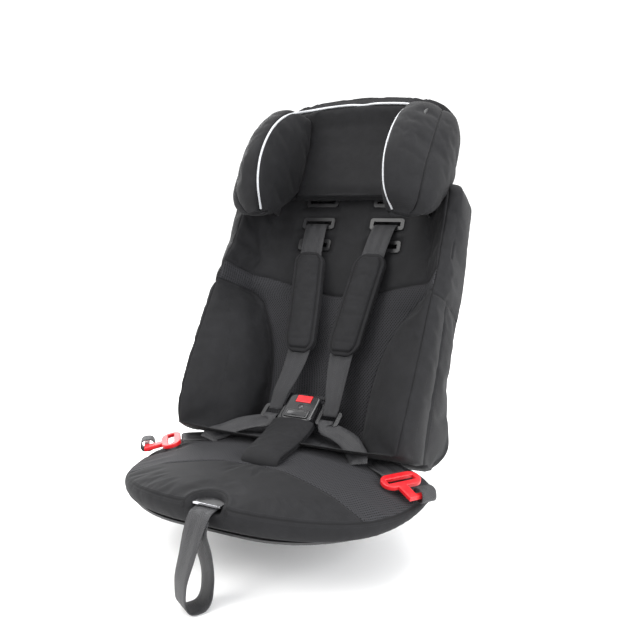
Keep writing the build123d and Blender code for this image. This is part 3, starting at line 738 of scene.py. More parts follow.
def rest_on_seat(piece, gap=0.0012):
    """Lifts the cloth's foot clear of the cushion, also when the back leans forward."""
    place = points_of(piece.data)
    x, y, z = place.T
    lean = np.tan(math.radians(4.6)) * np.clip(PIVOT_Y - y, 0, 1)
    least = seat_top(x, y) + gap + lean
    over = (y < 0.106) & (z < least)
    z = np.where(over, least, z)
    put(piece, np.stack([x, y, z], -1))


back_cover = skin(
    "back_cover", rows, flat,
    {key: np.broadcast_to(v, whole_x.shape) for key, v in (("share", round_share), ("up", levels[:, None]))})
outward(back_cover)
back_seams(back_cover)
held = np.exp(-((np.abs(marks_of(back_cover.data, "seam")) / 0.004) ** 2))
held = np.maximum(held, (marks_of(back_cover.data, "share") > 0.6) | (marks_of(back_cover.data, "up") > 440))
held = np.maximum(held, 0.75 * (marks_of(back_cover.data, "share") < 0.2))
stuff(back_cover, held, 1.1, 0.006)
rest_on_seat(back_cover)
finer(back_cover)
back_seams(back_cover)
sew(back_cover, 0.0020, 0.0026, 0.0025, 0.016)
rest_on_seat(back_cover)

# Each harness slot is cut through the padding and edged with a moulded rim.
SLOT_ROWS, SLOT_X, SLOT_HALF, SLOT_RIM = (355, 394, 434), 61, (23, 4), 6
place = points_of(back_cover.data)
out_of = (place - FOOT) @ OUT * 1000
up = (place - FOOT) @ UP * 1000
for row in SLOT_ROWS:
    aside = np.abs(np.abs(place[:, 0] * 1000) - SLOT_X)
    past = np.maximum(aside - SLOT_HALF[0], np.abs(up - row) - SLOT_HALF[1])
    sunk = np.clip((SLOT_RIM + 7 - past) / 7, 0, 1) * (out_of > -18)
    deep = np.clip((2.0 - past) / 2.5, 0, 1)
    level = -1.6 * (1 - deep) - 15 * deep
    lower = np.where(out_of > level, (level - out_of) * sunk, 0)
    place += OUT * (lower / 1000)[:, None]
put(back_cover, place)
finish_cover(
    back_cover, charcoal_cover, "backrest",
    ["back_mesh_pad", "back_upper_pad", "upper_side_pads", "bolster_left", "bolster_right",
     "side_panel_left", "side_panel_right", "back_rear_cover"],
)

# ---- Headrest -----------------------------------------------------------------
# A domed pad on the head shell with a deep stuffed wing each side, all in the
# same knit. Satin silver piping is sewn in round each wing's front edge and over
# the top of the pad.
def ringed(name, sections, levels, perimeter, caps):
    """Closed stuffed form through closed sections, its ends rounded over."""
    sections = np.asarray(sections, float)
    low, high = sections[0], sections[-1]
    before, after = [], []
    for scale, out in reversed(caps):
        before.append((low.mean(0) + (low - low.mean(0)) * scale, levels[0] - out))
        after.insert(0, (high.mean(0) + (high - high.mean(0)) * scale, levels[-1] + out))
    every = [*before, *zip(sections, levels), *after]
    rows = np.array([on_back(part[:, 0], v, part[:, 1]) for part, v in every])
    vs = np.array([v for _, v in every])
    share = np.linspace(0, 1, rows.shape[1] + 1)
    flat = np.stack(np.broadcast_arrays(share[None] * perimeter, vs[:, None] / 1000), -1)
    given = {
        key: np.broadcast_to(v, rows.shape[:2]) for key, v in (("share", share[:-1]), ("up", vs[:, None]))
    }
    piece = skin(name, rows, flat, given)
    outward(piece)
    return piece


HEAD_LEVELS = np.linspace(0, 1, 34)
pad_knots = (0, 0.22, 0.27, 0.32, 0.45, 0.5, 0.55, 0.75, 1.0)
head_rows = []
for t in HEAD_LEVELS:
    face = follow((0, 0.08, 0.5, 0.72, 0.9, 1.0), (24, 29, 29, 35, 49, 44), [t])[0]
    back_w = follow((0, 0.3, 0.8, 1.0), (7, -1, -3, 1), [t])[0]
    side_w = follow((0, 0.8, 1.0), (12, 14, 30), [t])[0]
    wide = follow((0, 0.7, 0.88, 1.0), (148, 160, 156, 144), [t])[0]
    xs = (0, 86, 99, 104, wide - 10, wide, wide - 8, 90, 0)
    ws = (
        face, face, face - 3, max(side_w, face - 16 * (1 - t)), max(side_w, back_w + 3) + 3 * t,
        (side_w + back_w) / 2, back_w, back_w, back_w
    )
    around = np.linspace(0, 1, 81)
    half = np.stack([follow(pad_knots, xs, around), follow(pad_knots, ws, around)], -1)
    other = half[-2:0:-1] * (-1, 1)
    ring = np.vstack([half, other])
    top = 601 - 21 * (np.abs(ring[:, 0]) / 160) ** 2.2 - 0.2 * np.clip(44 - ring[:, 1], 0, 45)
    low = 437.0 + 0 * ring[:, 0]
    head_rows.append(on_back(ring[:, 0], low + (top - low) * t, ring[:, 1]))
head_rows = np.array(head_rows)
tip = head_rows[-1]
for scale, out in ((0.82, 0.0016), (0.5, 0.0026)):
    mid_line = tip.copy()
    mid_line[:, 1:] = (tip + np.roll(tip[::-1], 1, axis=0))[:, 1:] / 2
    head_rows = np.concatenate([head_rows, [mid_line + (tip - mid_line) * scale + UP * out]])
foot = head_rows[0]
for scale, out in ((0.82, 0.0016), (0.5, 0.0026)):
    mid_line = foot.copy()
    mid_line[:, 1:] = (foot + np.roll(foot[::-1], 1, axis=0))[:, 1:] / 2
    head_rows = np.concatenate([[mid_line + (foot - mid_line) * scale - UP * out], head_rows])
step = np.linalg.norm(np.diff(head_rows, axis=1, append=head_rows[:, :1]), axis=2)
length = np.concatenate([np.zeros((len(head_rows), 1)), np.cumsum(step, axis=1)], axis=1)
heights = ((head_rows - FOOT) @ UP)
flat = np.stack([length, np.concatenate([heights, heights[:, :1]], axis=1)], -1)
share = np.broadcast_to(np.linspace(0, 1, head_rows.shape[1], endpoint=False), head_rows.shape[:2])
head_cover = skin(
    "head_cover", head_rows, flat,
    {"share": share, "seam": share * 0 + 0.05, "mesh_edge": share * 0 - 0.05}
)
outward(head_cover)


def head_seams(piece):
    place = points_of(piece.data)
    v = (place - FOOT) @ UP
    w = (place - FOOT) @ OUT
    x = np.abs(place[:, 0])
    top = 0.588 - 0.021 * (x / 0.16) ** 2.2
    seam = np.where(w > 0.02, v - top, 0.05)
    mark(piece, "seam", seam)


head_seams(head_cover)
stuff(
    head_cover,
    np.maximum(np.exp(-(marks_of(head_cover.data, "seam") / 0.004) ** 2), 0.35),
    0.8, 0.003
)
finer(head_cover)
head_seams(head_cover)
sew(head_cover, 0.0014, 0.0022, 0.0015, 0.012)
finish_cover(head_cover, charcoal_cover, "headrest", ["head_pad", "headrest_rear_cover"])

WING_LEVELS = (366, 376, 395, 430, 470, 500, 525, 545, 558, 566)
WING_NOSE = (114, 136, 154, 164.5, 157, 144, 126, 107, 86, 66)
WING_REAR = (96, 80, 64, 34, 13, 12, 12, 12, 13, 16)
WING_OUT = (150, 161, 167, 169, 169, 168, 166, 162, 156, 147)
WING_IN = (106, 101, 99, 98, 98, 98, 98, 98, 99, 102)
WING_ROUND = (0, 0.16, 0.3, 0.35, 0.42, 0.57, 0.7, 0.78, 0.85, 1.0)
PIPING_SHARE, SIDE_SHARE = 0.325, 0.585


def wing_section(v):
    nose, rear, far, near = (
        follow(WING_LEVELS, a, [v])[0] for a in (WING_NOSE, WING_REAR, WING_OUT, WING_IN)
    )
    deep = nose - rear
    xs = (
        near + 2, near - 4, near, near + 9, near + 25, near + 0.74 * (far - near), far, far - 2, far - 14,
        near + 2
    )
    ws = (
        rear, rear + 0.5 * deep, nose - 13, nose, nose - 3, rear + 0.74 * deep, rear + 0.4 * deep,
        rear + 0.12 * deep, rear, rear
    )
    around = np.linspace(0, 1, 97)
    return np.stack([follow(WING_ROUND, xs, around), follow(WING_ROUND, ws, around)], -1)[:-1]


def wing_seams(piece):
    share, up = marks_of(piece.data, "share"), marks_of(piece.data, "up")
    seam = (share - PIPING_SHARE) * 0.40
    side = (share - SIDE_SHARE) * 0.40
    seam = nearer(side, seam)
    mark(piece, "seam", seam)
    mark(piece, "mesh_edge", share * 0 - 0.05)


wing_levels = np.linspace(366, 566, 44)
for side, word in ((1, "left"), (-1, "right")):
    sections = [wing_section(v) * (side, 1) for v in wing_levels]
    wing = ringed("wing_cover_" + word, sections, wing_levels, 0.40, ((0.86, 2.4), (0.5, 3.8)))
    wing_seams(wing)
    share = marks_of(wing.data, "share")
    held = np.exp(-((np.abs(marks_of(wing.data, "seam")) / 0.004) ** 2))
    held = np.maximum(held, (share > 0.86) | (share < 0.03))
    stuff(wing, held, 1.2, 0.005)
    finer(wing)
    wing_seams(wing)
    sew(wing, 0.0015, 0.0022, 0.0022, 0.013)
    finish_cover(wing, charcoal_cover, "headrest", ["headrest_wing_" + word])


def satin_piping():
    made, tree, shader, where = new_material("satin_piping")
    grain = noise(tree, where, 420)
    lint = use(tree, LINT, Vector=where, Amount=0.5)
    colour = blend_colours(tree, grain, (0.42, 0.43, 0.45), (0.62, 0.63, 0.65))
    colour = blend_colours(tree, lint.outputs["Mask"], colour, (0.30, 0.31, 0.33))
    rough = calc(tree, "ADD", calc(tree, "MULTIPLY", grain, 0.2), 0.3)
    give(tree, shader, Base_Color=colour, Roughness=rough)
    shader.inputs["Metallic"].default_value = 0.25
    bump(tree, shader, grain, 0.0003, 0.5)
    return made


silver = satin_piping()


def tube(name, points, radius, material):
    """Round cord through smooth points, as a mesh."""
    line = bpy.data.curves.new(name, "CURVE")
    line.dimensions = "3D"
    line.bevel_depth = radius
    line.bevel_resolution = 3
    line.use_fill_caps = True
    line.resolution_u = 6
    spline = line.splines.new("NURBS")
    spline.points.add(len(points) - 1)
    for point, place in zip(spline.points, points):
        point.co = (*place, 1)
    spline.order_u = 3
    spline.use_endpoint_u = True
    holder = bpy.data.objects.new(name + "_line", line)
    scene.collection.objects.link(holder)
    mesh = bpy.data.meshes.new_from_object(holder.evaluated_get(bpy.context.evaluated_depsgraph_get()))
    bpy.data.objects.remove(holder)
    piece = bpy.data.objects.new(name, mesh)
    scene.collection.objects.link(piece)
    mesh.materials.clear()
    mesh.materials.append(material)
    mesh.shade_smooth()
    return piece


pipe_parts = []
for side, word in ((1, "left"), (-1, "right")):
    wing = bpy.data.objects["wing_cover_" + word]
    share, up = marks_of(wing.data, "share"), marks_of(wing.data, "up")
    place, normal = points_of(wing.data), normals_of(wing.data)
    line = []
    for v in (*np.linspace(367, 400, 6), *np.linspace(410, 560, 13)):
        score = np.abs(share - PIPING_SHARE) * 400 + np.abs(up - v)
        near = np.argsort(score)[:4]
        line.append(place[near].mean(0) + normal[near].mean(0) * 0.0014)
    pipe_parts.append(line)
over_top = []
head_place, head_normal = points_of(head_cover.data), normals_of(head_cover.data)
head_seam = marks_of(head_cover.data, "seam")
for x in np.linspace(-0.088, 0.088, 25):
    near = np.argsort(np.abs(head_seam) + np.abs(head_place[:, 0] - x))[:6]
    over_top.append(head_place[near].mean(0) + head_normal[near].mean(0) * 0.0024)
whole_line = np.array([*pipe_parts[1], *over_top, *reversed(pipe_parts[0])])
piping = tube("silver_piping", eased(whole_line, 3), 0.0019, silver)
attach(piping, "headrest")
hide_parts("headrest_piping")

# ---- Shoulder pads and harness webbing ----------------------------------------
# Two flat straps of smooth woven polyester come out of the middle slots and run
# down to the buckle's tongues. A folded two-layer pad is wrapped round each.
def weave_group():
    """Herringbone webbing: slanted ribs that change hand down the middle."""
    tree, given, result = group(
        "webbing_weave",
        [("Vector", "NodeSocketVector", None), ("Ribs", "NodeSocketFloat", 420.0),
         ("Hands", "NodeSocketFloat", 130.0)],
        [("Height", "NodeSocketFloat"), ("Tone", "NodeSocketFloat")],
    )
    x, y = parts_of(tree, given.outputs["Vector"])
    fold = calc(tree, "PINGPONG", calc(tree, "MULTIPLY", x, given.outputs["Hands"]), 1.0)
    rib = calc(tree, "ADD", y, calc(tree, "DIVIDE", fold, given.outputs["Hands"]))
    wave = calc(
        tree, "SINE", calc(tree, "MULTIPLY", calc(tree, "MULTIPLY", rib, given.outputs["Ribs"]), TURN)
    )
    height = calc(tree, "ADD", calc(tree, "MULTIPLY", wave, 0.5), 0.5)
    yarn = calc(tree, "MULTIPLY", noise(tree, given.outputs["Vector"], 260), 0.6)
    give(tree, result, Height=height, Tone=calc(tree, "ADD", calc(tree, "MULTIPLY", height, 0.45), yarn))
    return tree


WEAVE = weave_group()


def webbing(name, dark, light, ribs, sheen):
    made, tree, shader, where = new_material(name)
    uv = tree.nodes.new("ShaderNodeUVMap")
    uv.uv_map = "cloth"
    weave = use(tree, WEAVE, Vector=uv.outputs[0], Ribs=ribs)
    lint = use(tree, LINT, Vector=where, Amount=0.25)
    colour = blend_colours(tree, weave.outputs["Tone"], dark, light)
    colour = blend_colours(tree, lint.outputs["Mask"], colour, times(light, 1.5))
    rough = calc(tree, "ADD", calc(tree, "MULTIPLY", weave.outputs["Tone"], 0.2), 0.42)
    give(tree, shader, Base_Color=colour, Roughness=rough)
    shader.inputs["Sheen Weight"].default_value = sheen
    bump(tree, shader, weave.outputs["Height"], 0.0006, 0.8)
    return made


harness_web = webbing("harness_web", (0.009, 0.009, 0.010), (0.024, 0.024, 0.027), 620.0, 0.02)
coarse_web = webbing("coarse_web", (0.006, 0.006, 0.007), (0.026, 0.026, 0.029), 330.0, 0.03)


def strap(name, line, width, thick, across, material, samples=60, widths=None, belly=0.0):
    """Flat webbing along a smooth line; across gives its width's direction."""
    line = np.asarray(line, float)
    run = run_of(line)
    at = np.linspace(0, run[-1], samples)
    path = eased(follow(run, line, at), 3)
    along = np.gradient(path, axis=0)
    along /= np.linalg.norm(along, axis=1)[:, None]
    side = np.asarray(across, float)
    side = np.broadcast_to(side, path.shape) if side.ndim == 1 else follow(run, side, at)
    side = side - (side * along).sum(1)[:, None] * along
    side /= np.linalg.norm(side, axis=1)[:, None]
    face = np.cross(side, along)
    wide = np.full(samples, width) if widths is None else follow(run, np.asarray(widths, float), at)
    u = np.array([-1, -0.97, -0.6, -0.2, 0.2, 0.6, 0.97, 1.0])
    level = np.array([0, 1, 1, 1, 1, 1, 1, 0]) * 0.5
    ring_u = np.concatenate([u, u[-2:0:-1]])
    ring_t = np.concatenate([level, -level[-2:0:-1]])
    rows = path[:, None] + side[:, None] * (ring_u * 0.5)[None, :, None] * wide[:, None, None]
    rows = rows + face[:, None] * (ring_t * thick - belly * ring_u**2)[None, :, None]
    flat_u = np.concatenate([ring_u, ring_u[:1]]) * 0.5 * width + 0.1
    flat = np.stack(np.broadcast_arrays(flat_u[None], at[:, None]), -1)
    piece = skin(name, rows, flat, {})
    outward(piece)
    piece.data.materials.append(material)
    piece.data.shade_smooth()
    return piece


BUCKLE_LEAN = math.radians(31)


def in_buckle(x, y, z):
    """Place in metres from millimetres across, along and out of the buckle."""
    return np.array(
        [
            x, 92 + y * math.cos(BUCKLE_LEAN) - z * math.sin(BUCKLE_LEAN),
            82 + y * math.sin(BUCKLE_LEAN) + z * math.cos(BUCKLE_LEAN)
        ]
    ) / 1000


STRAP_LINE = (
    (61, 394, -20), (61, 394, -2), (60.6, 389, 6), (59.5, 380, 10), (54, 330, 19), (44, 245, 22),
    (36, 165, 26), (39.5, 122, 34)
)
STRAP_ENDS = ((44, 22, 10.5), (45, 10, 3.6), (45, 4, 2.2), (45, -1.5, 0))
STRAP_WIDTHS = (38, 38, 38, 38, 38, 38, 37, 31, 25, 22.5, 22, 21.5)
PAD_KNOTS = (163, 169, 245, 326, 333)
PAD_X, PAD_W = (35.8, 36.4, 44, 53.5, 54.3), (26.2, 25.8, 22, 19.4, 18.9)
PAD_HALF, PAD_THICK = 26.5, 8.2
for side, word in ((1, "left"), (-1, "right")):
    line = [on_back(side * x, v, w) for x, v, w in STRAP_LINE]
    line = np.array(line + [in_buckle(side * x, y, z) for x, y, z in STRAP_ENDS])
    widths = np.array(STRAP_WIDTHS) / 1000
    piece = strap("harness_strap_" + word, line, 0.038, 0.0015, (1, 0, 0), harness_web, 90, widths)
    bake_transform(piece)
    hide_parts("shoulder_strap_" + word)
    vs = np.linspace(163, 333, 58)
    rows, seam, shares = [], [], []
    around = np.linspace(0, 2 * np.pi, 56, endpoint=False)
    for v in vs:
        end = min(v - 163, 333 - v)
        half = PAD_HALF - 24 + math.sqrt(max(24**2 - max(24 - end - 1.2, 0) ** 2, 0.5))
        thin = PAD_THICK * (0.35 + 0.65 * min(1, (end + 0.5) / 9) ** 0.5)
        cx, cw = follow(PAD_KNOTS, PAD_X, [v])[0], follow(PAD_KNOTS, PAD_W, [v])[0]
        px = half * powered(np.cos(around), 0.75)
        pw = thin * powered(np.sin(around), 0.62)
        rows.append(on_back(side * (cx + px), v, cw + pw))
        border = np.minimum(half - np.abs(px), end) - 5.5
        seam.append(
            np.where(np.sin(around) > 0.25, border / 1000, np.where(np.abs(pw) < 3.4, pw / 1000, 0.01))
        )
    rows = np.array(rows)
    share = np.broadcast_to(np.linspace(0, 0.13, 57), (len(vs), 57))
    flat = np.stack([share, np.broadcast_to(vs[:, None] / 1000, share.shape)], -1)
    pad = skin(
        "harness_pad_" + word, rows, flat,
        {"seam": np.array(seam), "mesh_edge": np.array(seam) * 0 - 0.05}
    )
    outward(pad)
    stuff(pad, np.exp(-((marks_of(pad.data, "seam") / 0.003) ** 2)), 1.0, 0.002)
    finer(pad)
    sew(pad, 0.0013, 0.0019, 0.0012, 0.008)
    pad.data.materials.append(charcoal_cover)
    pad.data.shade_smooth()
    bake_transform(pad)
    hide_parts("shoulder_pad_" + word)

# ---- Crotch pad, crotch strap and lap straps -----------------------------------
# The crotch strap comes up through the cushion in a soft tunnel pad and holds the
# buckle. Each lap strap passes through its tongue's ring and is sewn into a cloth
# pocket on the cushion.
PAD_LINE = ((-33.5, 41), (-32, 47), (-26, 52.6), (-14, 54.6), (0, 56), (34, 61.6), (56, 68.6), (69, 74))
PAD_HALF_WIDTHS = (27, 27.5, 28.5, 29.5, 30.5, 32, 33, 32)
line = np.array(PAD_LINE, float)
run = run_of(line)
at = np.linspace(0, run[-1], 46)
path = eased(follow(run, line, at), 4)
slope = np.gradient(path, axis=0)
slope /= np.hypot(*slope.T)[:, None]
around = np.linspace(0, 2 * np.pi, 64, endpoint=False)
rows, seam = [], []
for i, (y, z) in enumerate(path):
    end = min(at[i], at[-1] - at[i])
    half = follow(run, PAD_HALF_WIDTHS, [at[i]])[0] - 2.2 * max(0, 1 - end / 4) ** 2
    thin = 6.4 * (0.45 + 0.55 * min(1, end / 7) ** 0.5)
    px = half * powered(np.cos(around), 0.8)
    pn = thin * powered(np.sin(around), 0.65) + 1.6 * (1 - (px / 33) ** 2)
    rows.append(np.stack([px, y - slope[i, 1] * pn, z + slope[i, 0] * pn], -1) / 1000)
    seam.append(np.where(np.abs(np.sin(around)) < 0.25, pn - 1.6 * (1 - (px / 33) ** 2), 20) / 1000)
rows, seam = np.array(rows), np.array(seam)
share = np.broadcast_to(np.linspace(0, 0.15, 65), (len(at), 65))
flat = np.stack([share, np.broadcast_to(at[:, None] / 1000, share.shape)], -1)
tunnel_pad = skin("crotch_tunnel_pad", rows, flat, {"seam": seam, "mesh_edge": seam * 0 - 0.05})
outward(tunnel_pad)
stuff(tunnel_pad, np.exp(-((marks_of(tunnel_pad.data, "seam") / 0.003) ** 2)), 1.0, 0.002)
finer(tunnel_pad)
sew(tunnel_pad, 0.0010, 0.0018, 0.0008, 0.008)
finish_cover(tunnel_pad, charcoal_cover, "crotch_buckle", ["crotch_pad"])

line = np.array([(0, -27.3, 52.5), (0, 0, 55), (0, 34, 60.5), (0, 58, 67.8), (0, 73, 72.9)]) / 1000
crotch_web = strap("crotch_web", line, 0.038, 0.0015, (1, 0, 0), coarse_web, 30)
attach(crotch_web, "crotch_buckle")
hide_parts("crotch_strap")

LAP_RING = ((45, -10, -0.4), (45, -12.5, 2.6), (45.5, -18, 3.2), (47, -23.5, 1.0))
LAP_LINE = ((64, 69, 66.5), (90, 57, 60.5), (106, 41, 53.5), (116, 27, 50.5), (118, 20, 45))
LAP_WIDTHS = (21, 21, 21.5, 22.5, 26, 28, 28, 28, 28)
LAP_ACROSS = (
    (1, 0, 0), (1, 0, 0), (1, 0, 0), (0.9, 0.3, 0.3), (0.5, 0.75, 0.42), (0.42, 0.77, 0.48),
    (0.45, 0.72, 0.5), (0.75, 0.4, 0.5), (1, 0, 0.25)
)
for side, word in ((1, "left"), (-1, "right")):
    line = [in_buckle(side * x, y, z) for x, y, z in LAP_RING]
    line += [np.array([side * x, y, z]) / 1000 for x, y, z in LAP_LINE]
    across = np.array(LAP_ACROSS, float) * (1, side, side)
    widths = np.array(LAP_WIDTHS) / 1000
    piece = strap("lap_web_" + word, line, 0.028, 0.0014, across, coarse_web, 64, widths)
    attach(piece, "base")
    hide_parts("lap_strap_" + word)
    # Cloth pocket the strap's end is sewn into.
    rows, seam = [], []
    for t in np.linspace(0, 1, 22):
        tall = 4.2 * math.sin(
            math.pi * min(1, t * 1.15 + 0.02)
        ) ** 0.6 if t < 0.85 else 2.2 * (1 - t) / 0.15 + 0.6
        half = 17.5 - 2.5 * t
        px = half * powered(np.cos(around), 0.8)
        up = np.where(np.sin(around) > 0, tall * np.abs(np.sin(around)) ** 0.7, -1.2 * np.abs(np.sin(around)))
        x = side * (118 + px) / 1000
        y = np.full_like(x, (27 - 17 * t) / 1000) + 0.0015 * np.cos(px / half * 1.5)
        rows.append(np.stack([x, y, seat_top(x, y) + 0.0006 + up / 1000], -1))
        seam.append(np.where(np.sin(around) > 0, (half - 3 - np.abs(px)) / 1000, 0.02))
    share = np.broadcast_to(np.linspace(0, 0.08, 65), (22, 65))
    flat = np.stack([share, np.broadcast_to(np.linspace(0, 0.018, 22)[:, None], share.shape)], -1)
    pocket = skin(
        "lap_pocket_" + word, np.array(rows), flat,
        {"seam": np.array(seam), "mesh_edge": np.array(seam) * 0 - 0.05}
    )
    outward(pocket)
    finer(pocket)
    pocket.data.materials.append(charcoal_cover)
    pocket.data.shade_smooth()
    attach(pocket, "base")
    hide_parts("lap_strap_anchors")

# ---- Pull strap ----------------------------------------------------------------
# Coarse herringbone webbing that comes out of the front arch, hangs down and is
# sewn back on itself in a finger loop, a little twisted by its own weight.
PULL_LINE = (
    (0, -60, 33.8), (0, -130, 33.8), (0, -166, 33.6), (-1, -181, 18), (-4, -192, -12), (-7.5, -201, -44),
    (-8, -201, -63), (-3, -193, -75.6), (5, -181, -75.4), (9, -172.5, -62), (9, -170, -42), (6, -174, -8),
    (1.5, -179.5, 14), (0, -174, 24),
)
PULL_TURN = (0, 0, 0, 8, 20, 29, 31, 31, 31, 30, 27, 16, 6, 3)
line = np.array(PULL_LINE) / 1000
across = [(math.cos(math.radians(a)), -math.sin(math.radians(a)), 0) for a in PULL_TURN]
pull_web = strap("pull_web", line, 0.030, 0.0015, across, coarse_web, 110)
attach(pull_web, "adjuster_strap")
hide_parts("adjuster_strap")

# ---- Belt guides -----------------------------------------------------------------
# Glossy red mouldings that hold the car's belt, each hung from the cushion by a
# short flat web, with a spare tail of web folded round its hook.
GUIDE_X = np.array([0.61, 0.7924, 0.0]) / math.hypot(0.61, 0.7924)
GUIDE_AT = np.array([0.180, 0.014, 0.036])
GUIDE_LEAN = math.radians(12)
GUIDE_OUT = np.array(
    [GUIDE_X[1] * math.sin(GUIDE_LEAN), -GUIDE_X[0] * math.sin(GUIDE_LEAN), math.cos(GUIDE_LEAN)]
)
GUIDE_IN = np.cross(GUIDE_OUT, GUIDE_X)
WEB_IN = np.array([-GUIDE_X[1], GUIDE_X[0], 0.0])
HANGER = ((15.6, -2.6), (16.2, 0.2), (24, 0.6), (46, 0.0), (64, -0.6), (73, -4.5))
TAIL = (
    (-25.5, -2.5), (-25.5, 3.2), (-29, 7.8), (-36, 9.5), (-43, 7), (-45.5, 0.5), (-42.5, -6.5),
    (-35, -8.2), (-29, -6.8)
)
for side, word in ((1, "left"), (-1, "right")):
    turned = np.array([side, 1, 1])
    line = [
        (GUIDE_AT + (0, 0, 0.0036) + WEB_IN * a / 1000 + np.array([0, 0, b / 1000])) * turned for a,
        b in HANGER
    ]
    hanger = strap("guide_hanger_" + word, line, 0.036, 0.0015, GUIDE_X * turned, coarse_web, 30)
    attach(hanger, "base")
    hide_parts("belt_guide_webbing_" + word)
    line = [
        (GUIDE_AT + GUIDE_X * 0.013 + GUIDE_IN * a / 1000 + GUIDE_OUT * b / 1000) * turned for a,
        b in TAIL
    ]
    tail = strap("guide_tail_" + word, line, 0.021, 0.0014, GUIDE_X * turned, coarse_web, 50)
    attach(tail, "belt_guide_" + word)

# ---- Buckle -------------------------------------------------------------------
# A black moulded buckle with a red press button. Its face carries a raised lip
# with a recess at the strap end and a small plain dome in the middle.
def grain_group():
    """Fine spark-eroded grain of moulded plastic, and paler rubbed patches."""
    tree, given, result = group(
        "moulded_grain",
        [("Vector", "NodeSocketVector", None), ("Grain", "NodeSocketFloat", 900.0)],
        [("Height", "NodeSocketFloat"), ("Wear", "NodeSocketFloat")],
    )
    wear = ramp(tree, noise(tree, given.outputs["Vector"], 38, 4), 0.45, 0.75)
    give(tree, result, Height=noise(tree, given.outputs["Vector"], given.outputs["Grain"]), Wear=wear)
    return tree


GRAIN = grain_group()


def moulded(name, colour, worn, rough, grain=900.0, deep=0.0002, metal=0.0, coat=0.0):
    """Hard finish: moulded plastic, rubber or plated steel."""
    made, tree, shader, where = new_material(name)
    skin_grain = use(tree, GRAIN, Vector=where, Grain=grain)
    lint = use(tree, LINT, Vector=where, Amount=0.25)
    mixed = blend_colours(tree, skin_grain.outputs["Wear"], colour, worn)
    mixed = blend_colours(tree, lint.outputs["Mask"], mixed, worn)
    change = calc(tree, "MULTIPLY", skin_grain.outputs["Wear"], 0.12)
    give(tree, shader, Base_Color=mixed, Roughness=calc(tree, "ADD", change, rough))
    shader.inputs["Metallic"].default_value = metal
    shader.inputs["Coat Weight"].default_value = coat
    bump(tree, shader, skin_grain.outputs["Height"], deep, 0.6)
    return made


def dress(material, *names):
    """Gives CAD parts their finish."""
    for name in names:
        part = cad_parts[name]
        if not part.material_slots:
            part.data.materials.append(material)
        for place in part.material_slots:
            place.link = "OBJECT"
            place.material = material


gloss_black = moulded(
    "gloss_black", (0.010, 0.010, 0.011), (0.022, 0.022, 0.024), 0.20, 500.0, 0.00008, coat=0.3
)
satin_black = moulded("satin_black", (0.016, 0.016, 0.017), (0.030, 0.030, 0.032), 0.42)
guide_red = moulded("guide_red", (0.56, 0.006, 0.012), (0.62, 0.020, 0.024), 0.34, 420.0, 0.00006, coat=0.05)
plated_steel = moulded(
    "plated_steel", (0.50, 0.50, 0.52), (0.38, 0.38, 0.40), 0.24, 1400.0, 0.00004, metal=1.0
)
shell_black = moulded("shell_black", (0.020, 0.020, 0.021), (0.036, 0.036, 0.038), 0.52, 700.0, 0.0003)
mat_rubber = moulded("mat_rubber", (0.024, 0.024, 0.025), (0.045, 0.045, 0.046), 0.68, 300.0, 0.0006)
dress(gloss_black, "buckle_front_shell", "tongue_left", "tongue_right")
dress(
    satin_black, "buckle_rear_shell", "adjuster_housing", "adjuster_lever", "harness_slot_bezels",
    "headrest_release_handle"
)
dress(guide_red, "belt_guide_left", "belt_guide_right", "buckle_button")
dress(
    plated_steel, "adjuster_pin", "adjuster_metal_edge", "base_hinge_brackets", "back_hinge_arms",
    "hinge_pins", "cover_screws", "crotch_anchor_bar", "harness_yoke", "headrest_posts", "buckle_latch",
    "buckle_spring", "buckle_strap_bar",
)
dress(shell_black, "base_shell", "underside_cover", "back_shell", "headrest_shell", "headrest_guide_sleeves")
dress(mat_rubber, "anti_slip_mat")


def buckle_piece(piece, name):
    """Puts a piece modelled at the origin, in millimetres, on the buckle's face."""
    piece.name = piece.data.name = name
    put(piece, [in_buckle(*point) for point in points_of(piece.data)])
    piece.data.materials.clear()
    piece.data.materials.append(gloss_black)
    piece.data.shade_smooth()
    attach(piece, "crotch_buckle")


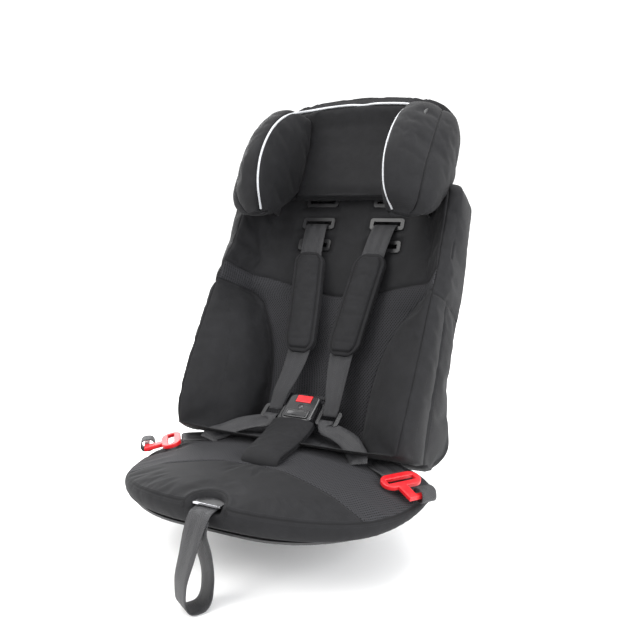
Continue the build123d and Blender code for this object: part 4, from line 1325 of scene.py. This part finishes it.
bpy.ops.object.select_all(action="DESELECT")
bpy.ops.mesh.primitive_cube_add(size=1, location=(0, 0, 0))
lip = bpy.context.object
put(lip, points_of(lip.data) * (37, 15, 3.4) + (0, -14, 11.6))
bpy.ops.object.mode_set(mode="EDIT")
bpy.ops.mesh.select_all(action="DESELECT")
bpy.ops.object.mode_set(mode="OBJECT")
for face in lip.data.polygons:
    face.select = face.normal.z > 0.9
bpy.ops.object.mode_set(mode="EDIT")
bpy.ops.mesh.inset(thickness=2.6)
bpy.ops.mesh.extrude_region_move(TRANSFORM_OT_translate={"value": (0, 0, -1.6)})
bpy.ops.object.mode_set(mode="OBJECT")
round_over = lip.modifiers.new("round_over", "BEVEL")
round_over.width = 0.8
round_over.segments = 3
bpy.ops.object.modifier_apply(modifier="round_over")
buckle_piece(lip, "buckle_lip")
bpy.ops.object.select_all(action="DESELECT")
bpy.ops.mesh.primitive_uv_sphere_add(segments=32, ring_count=16, radius=1, location=(0, 0, 0))
dome = bpy.context.object
put(dome, points_of(dome.data) * (4.6, 4.6, 1.5) + (0, 0.5, 10.9))
buckle_piece(dome, "buckle_dome")

# The crotch webbing's anchor and the harness behind the shell are plain webbing.
def plain_webbing(name):
    made, tree, shader, where = new_material(name)
    turn = tree.nodes.new("ShaderNodeMapping")
    turn.inputs["Rotation"].default_value = (math.radians(63.5), 0, 0)
    tree.links.new(where, turn.inputs["Vector"])
    weave = use(tree, WEAVE, Vector=turn.outputs[0], Ribs=420.0)
    colour = blend_colours(tree, weave.outputs["Tone"], (0.014, 0.014, 0.015), (0.045, 0.045, 0.050))
    rough = calc(tree, "ADD", calc(tree, "MULTIPLY", weave.outputs["Tone"], 0.2), 0.5)
    give(tree, shader, Base_Color=colour, Roughness=rough)
    bump(tree, shader, weave.outputs["Height"], 0.0004, 0.7)
    return made


hidden_web = plain_webbing("hidden_web")
dress(hidden_web, "crotch_anchor_webbing", "rear_harness_straps", "rear_adjust_strap")

# ---- Printed ring on the apron ----------------------------------------------------
# A plain pale ring welded to the knit in front of the crotch pad, with no mark in it.
RING_BACK = 0.0845
bpy.ops.object.select_all(action="DESELECT")
bpy.ops.mesh.primitive_torus_add(
    major_radius=0.0148, minor_radius=0.0012, major_segments=96, minor_segments=10
)
ring = bpy.context.object
ring.name = ring.data.name = "apron_ring"
place = points_of(ring.data)
place[:, 1] -= RING_BACK
place[:, 2] = seat_top(place[:, 0], place[:, 1]) + 0.0016 + place[:, 2] * 0.6
put(ring, place)
ring.data.materials.append(silver)
ring.data.shade_smooth()
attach(ring, "base")
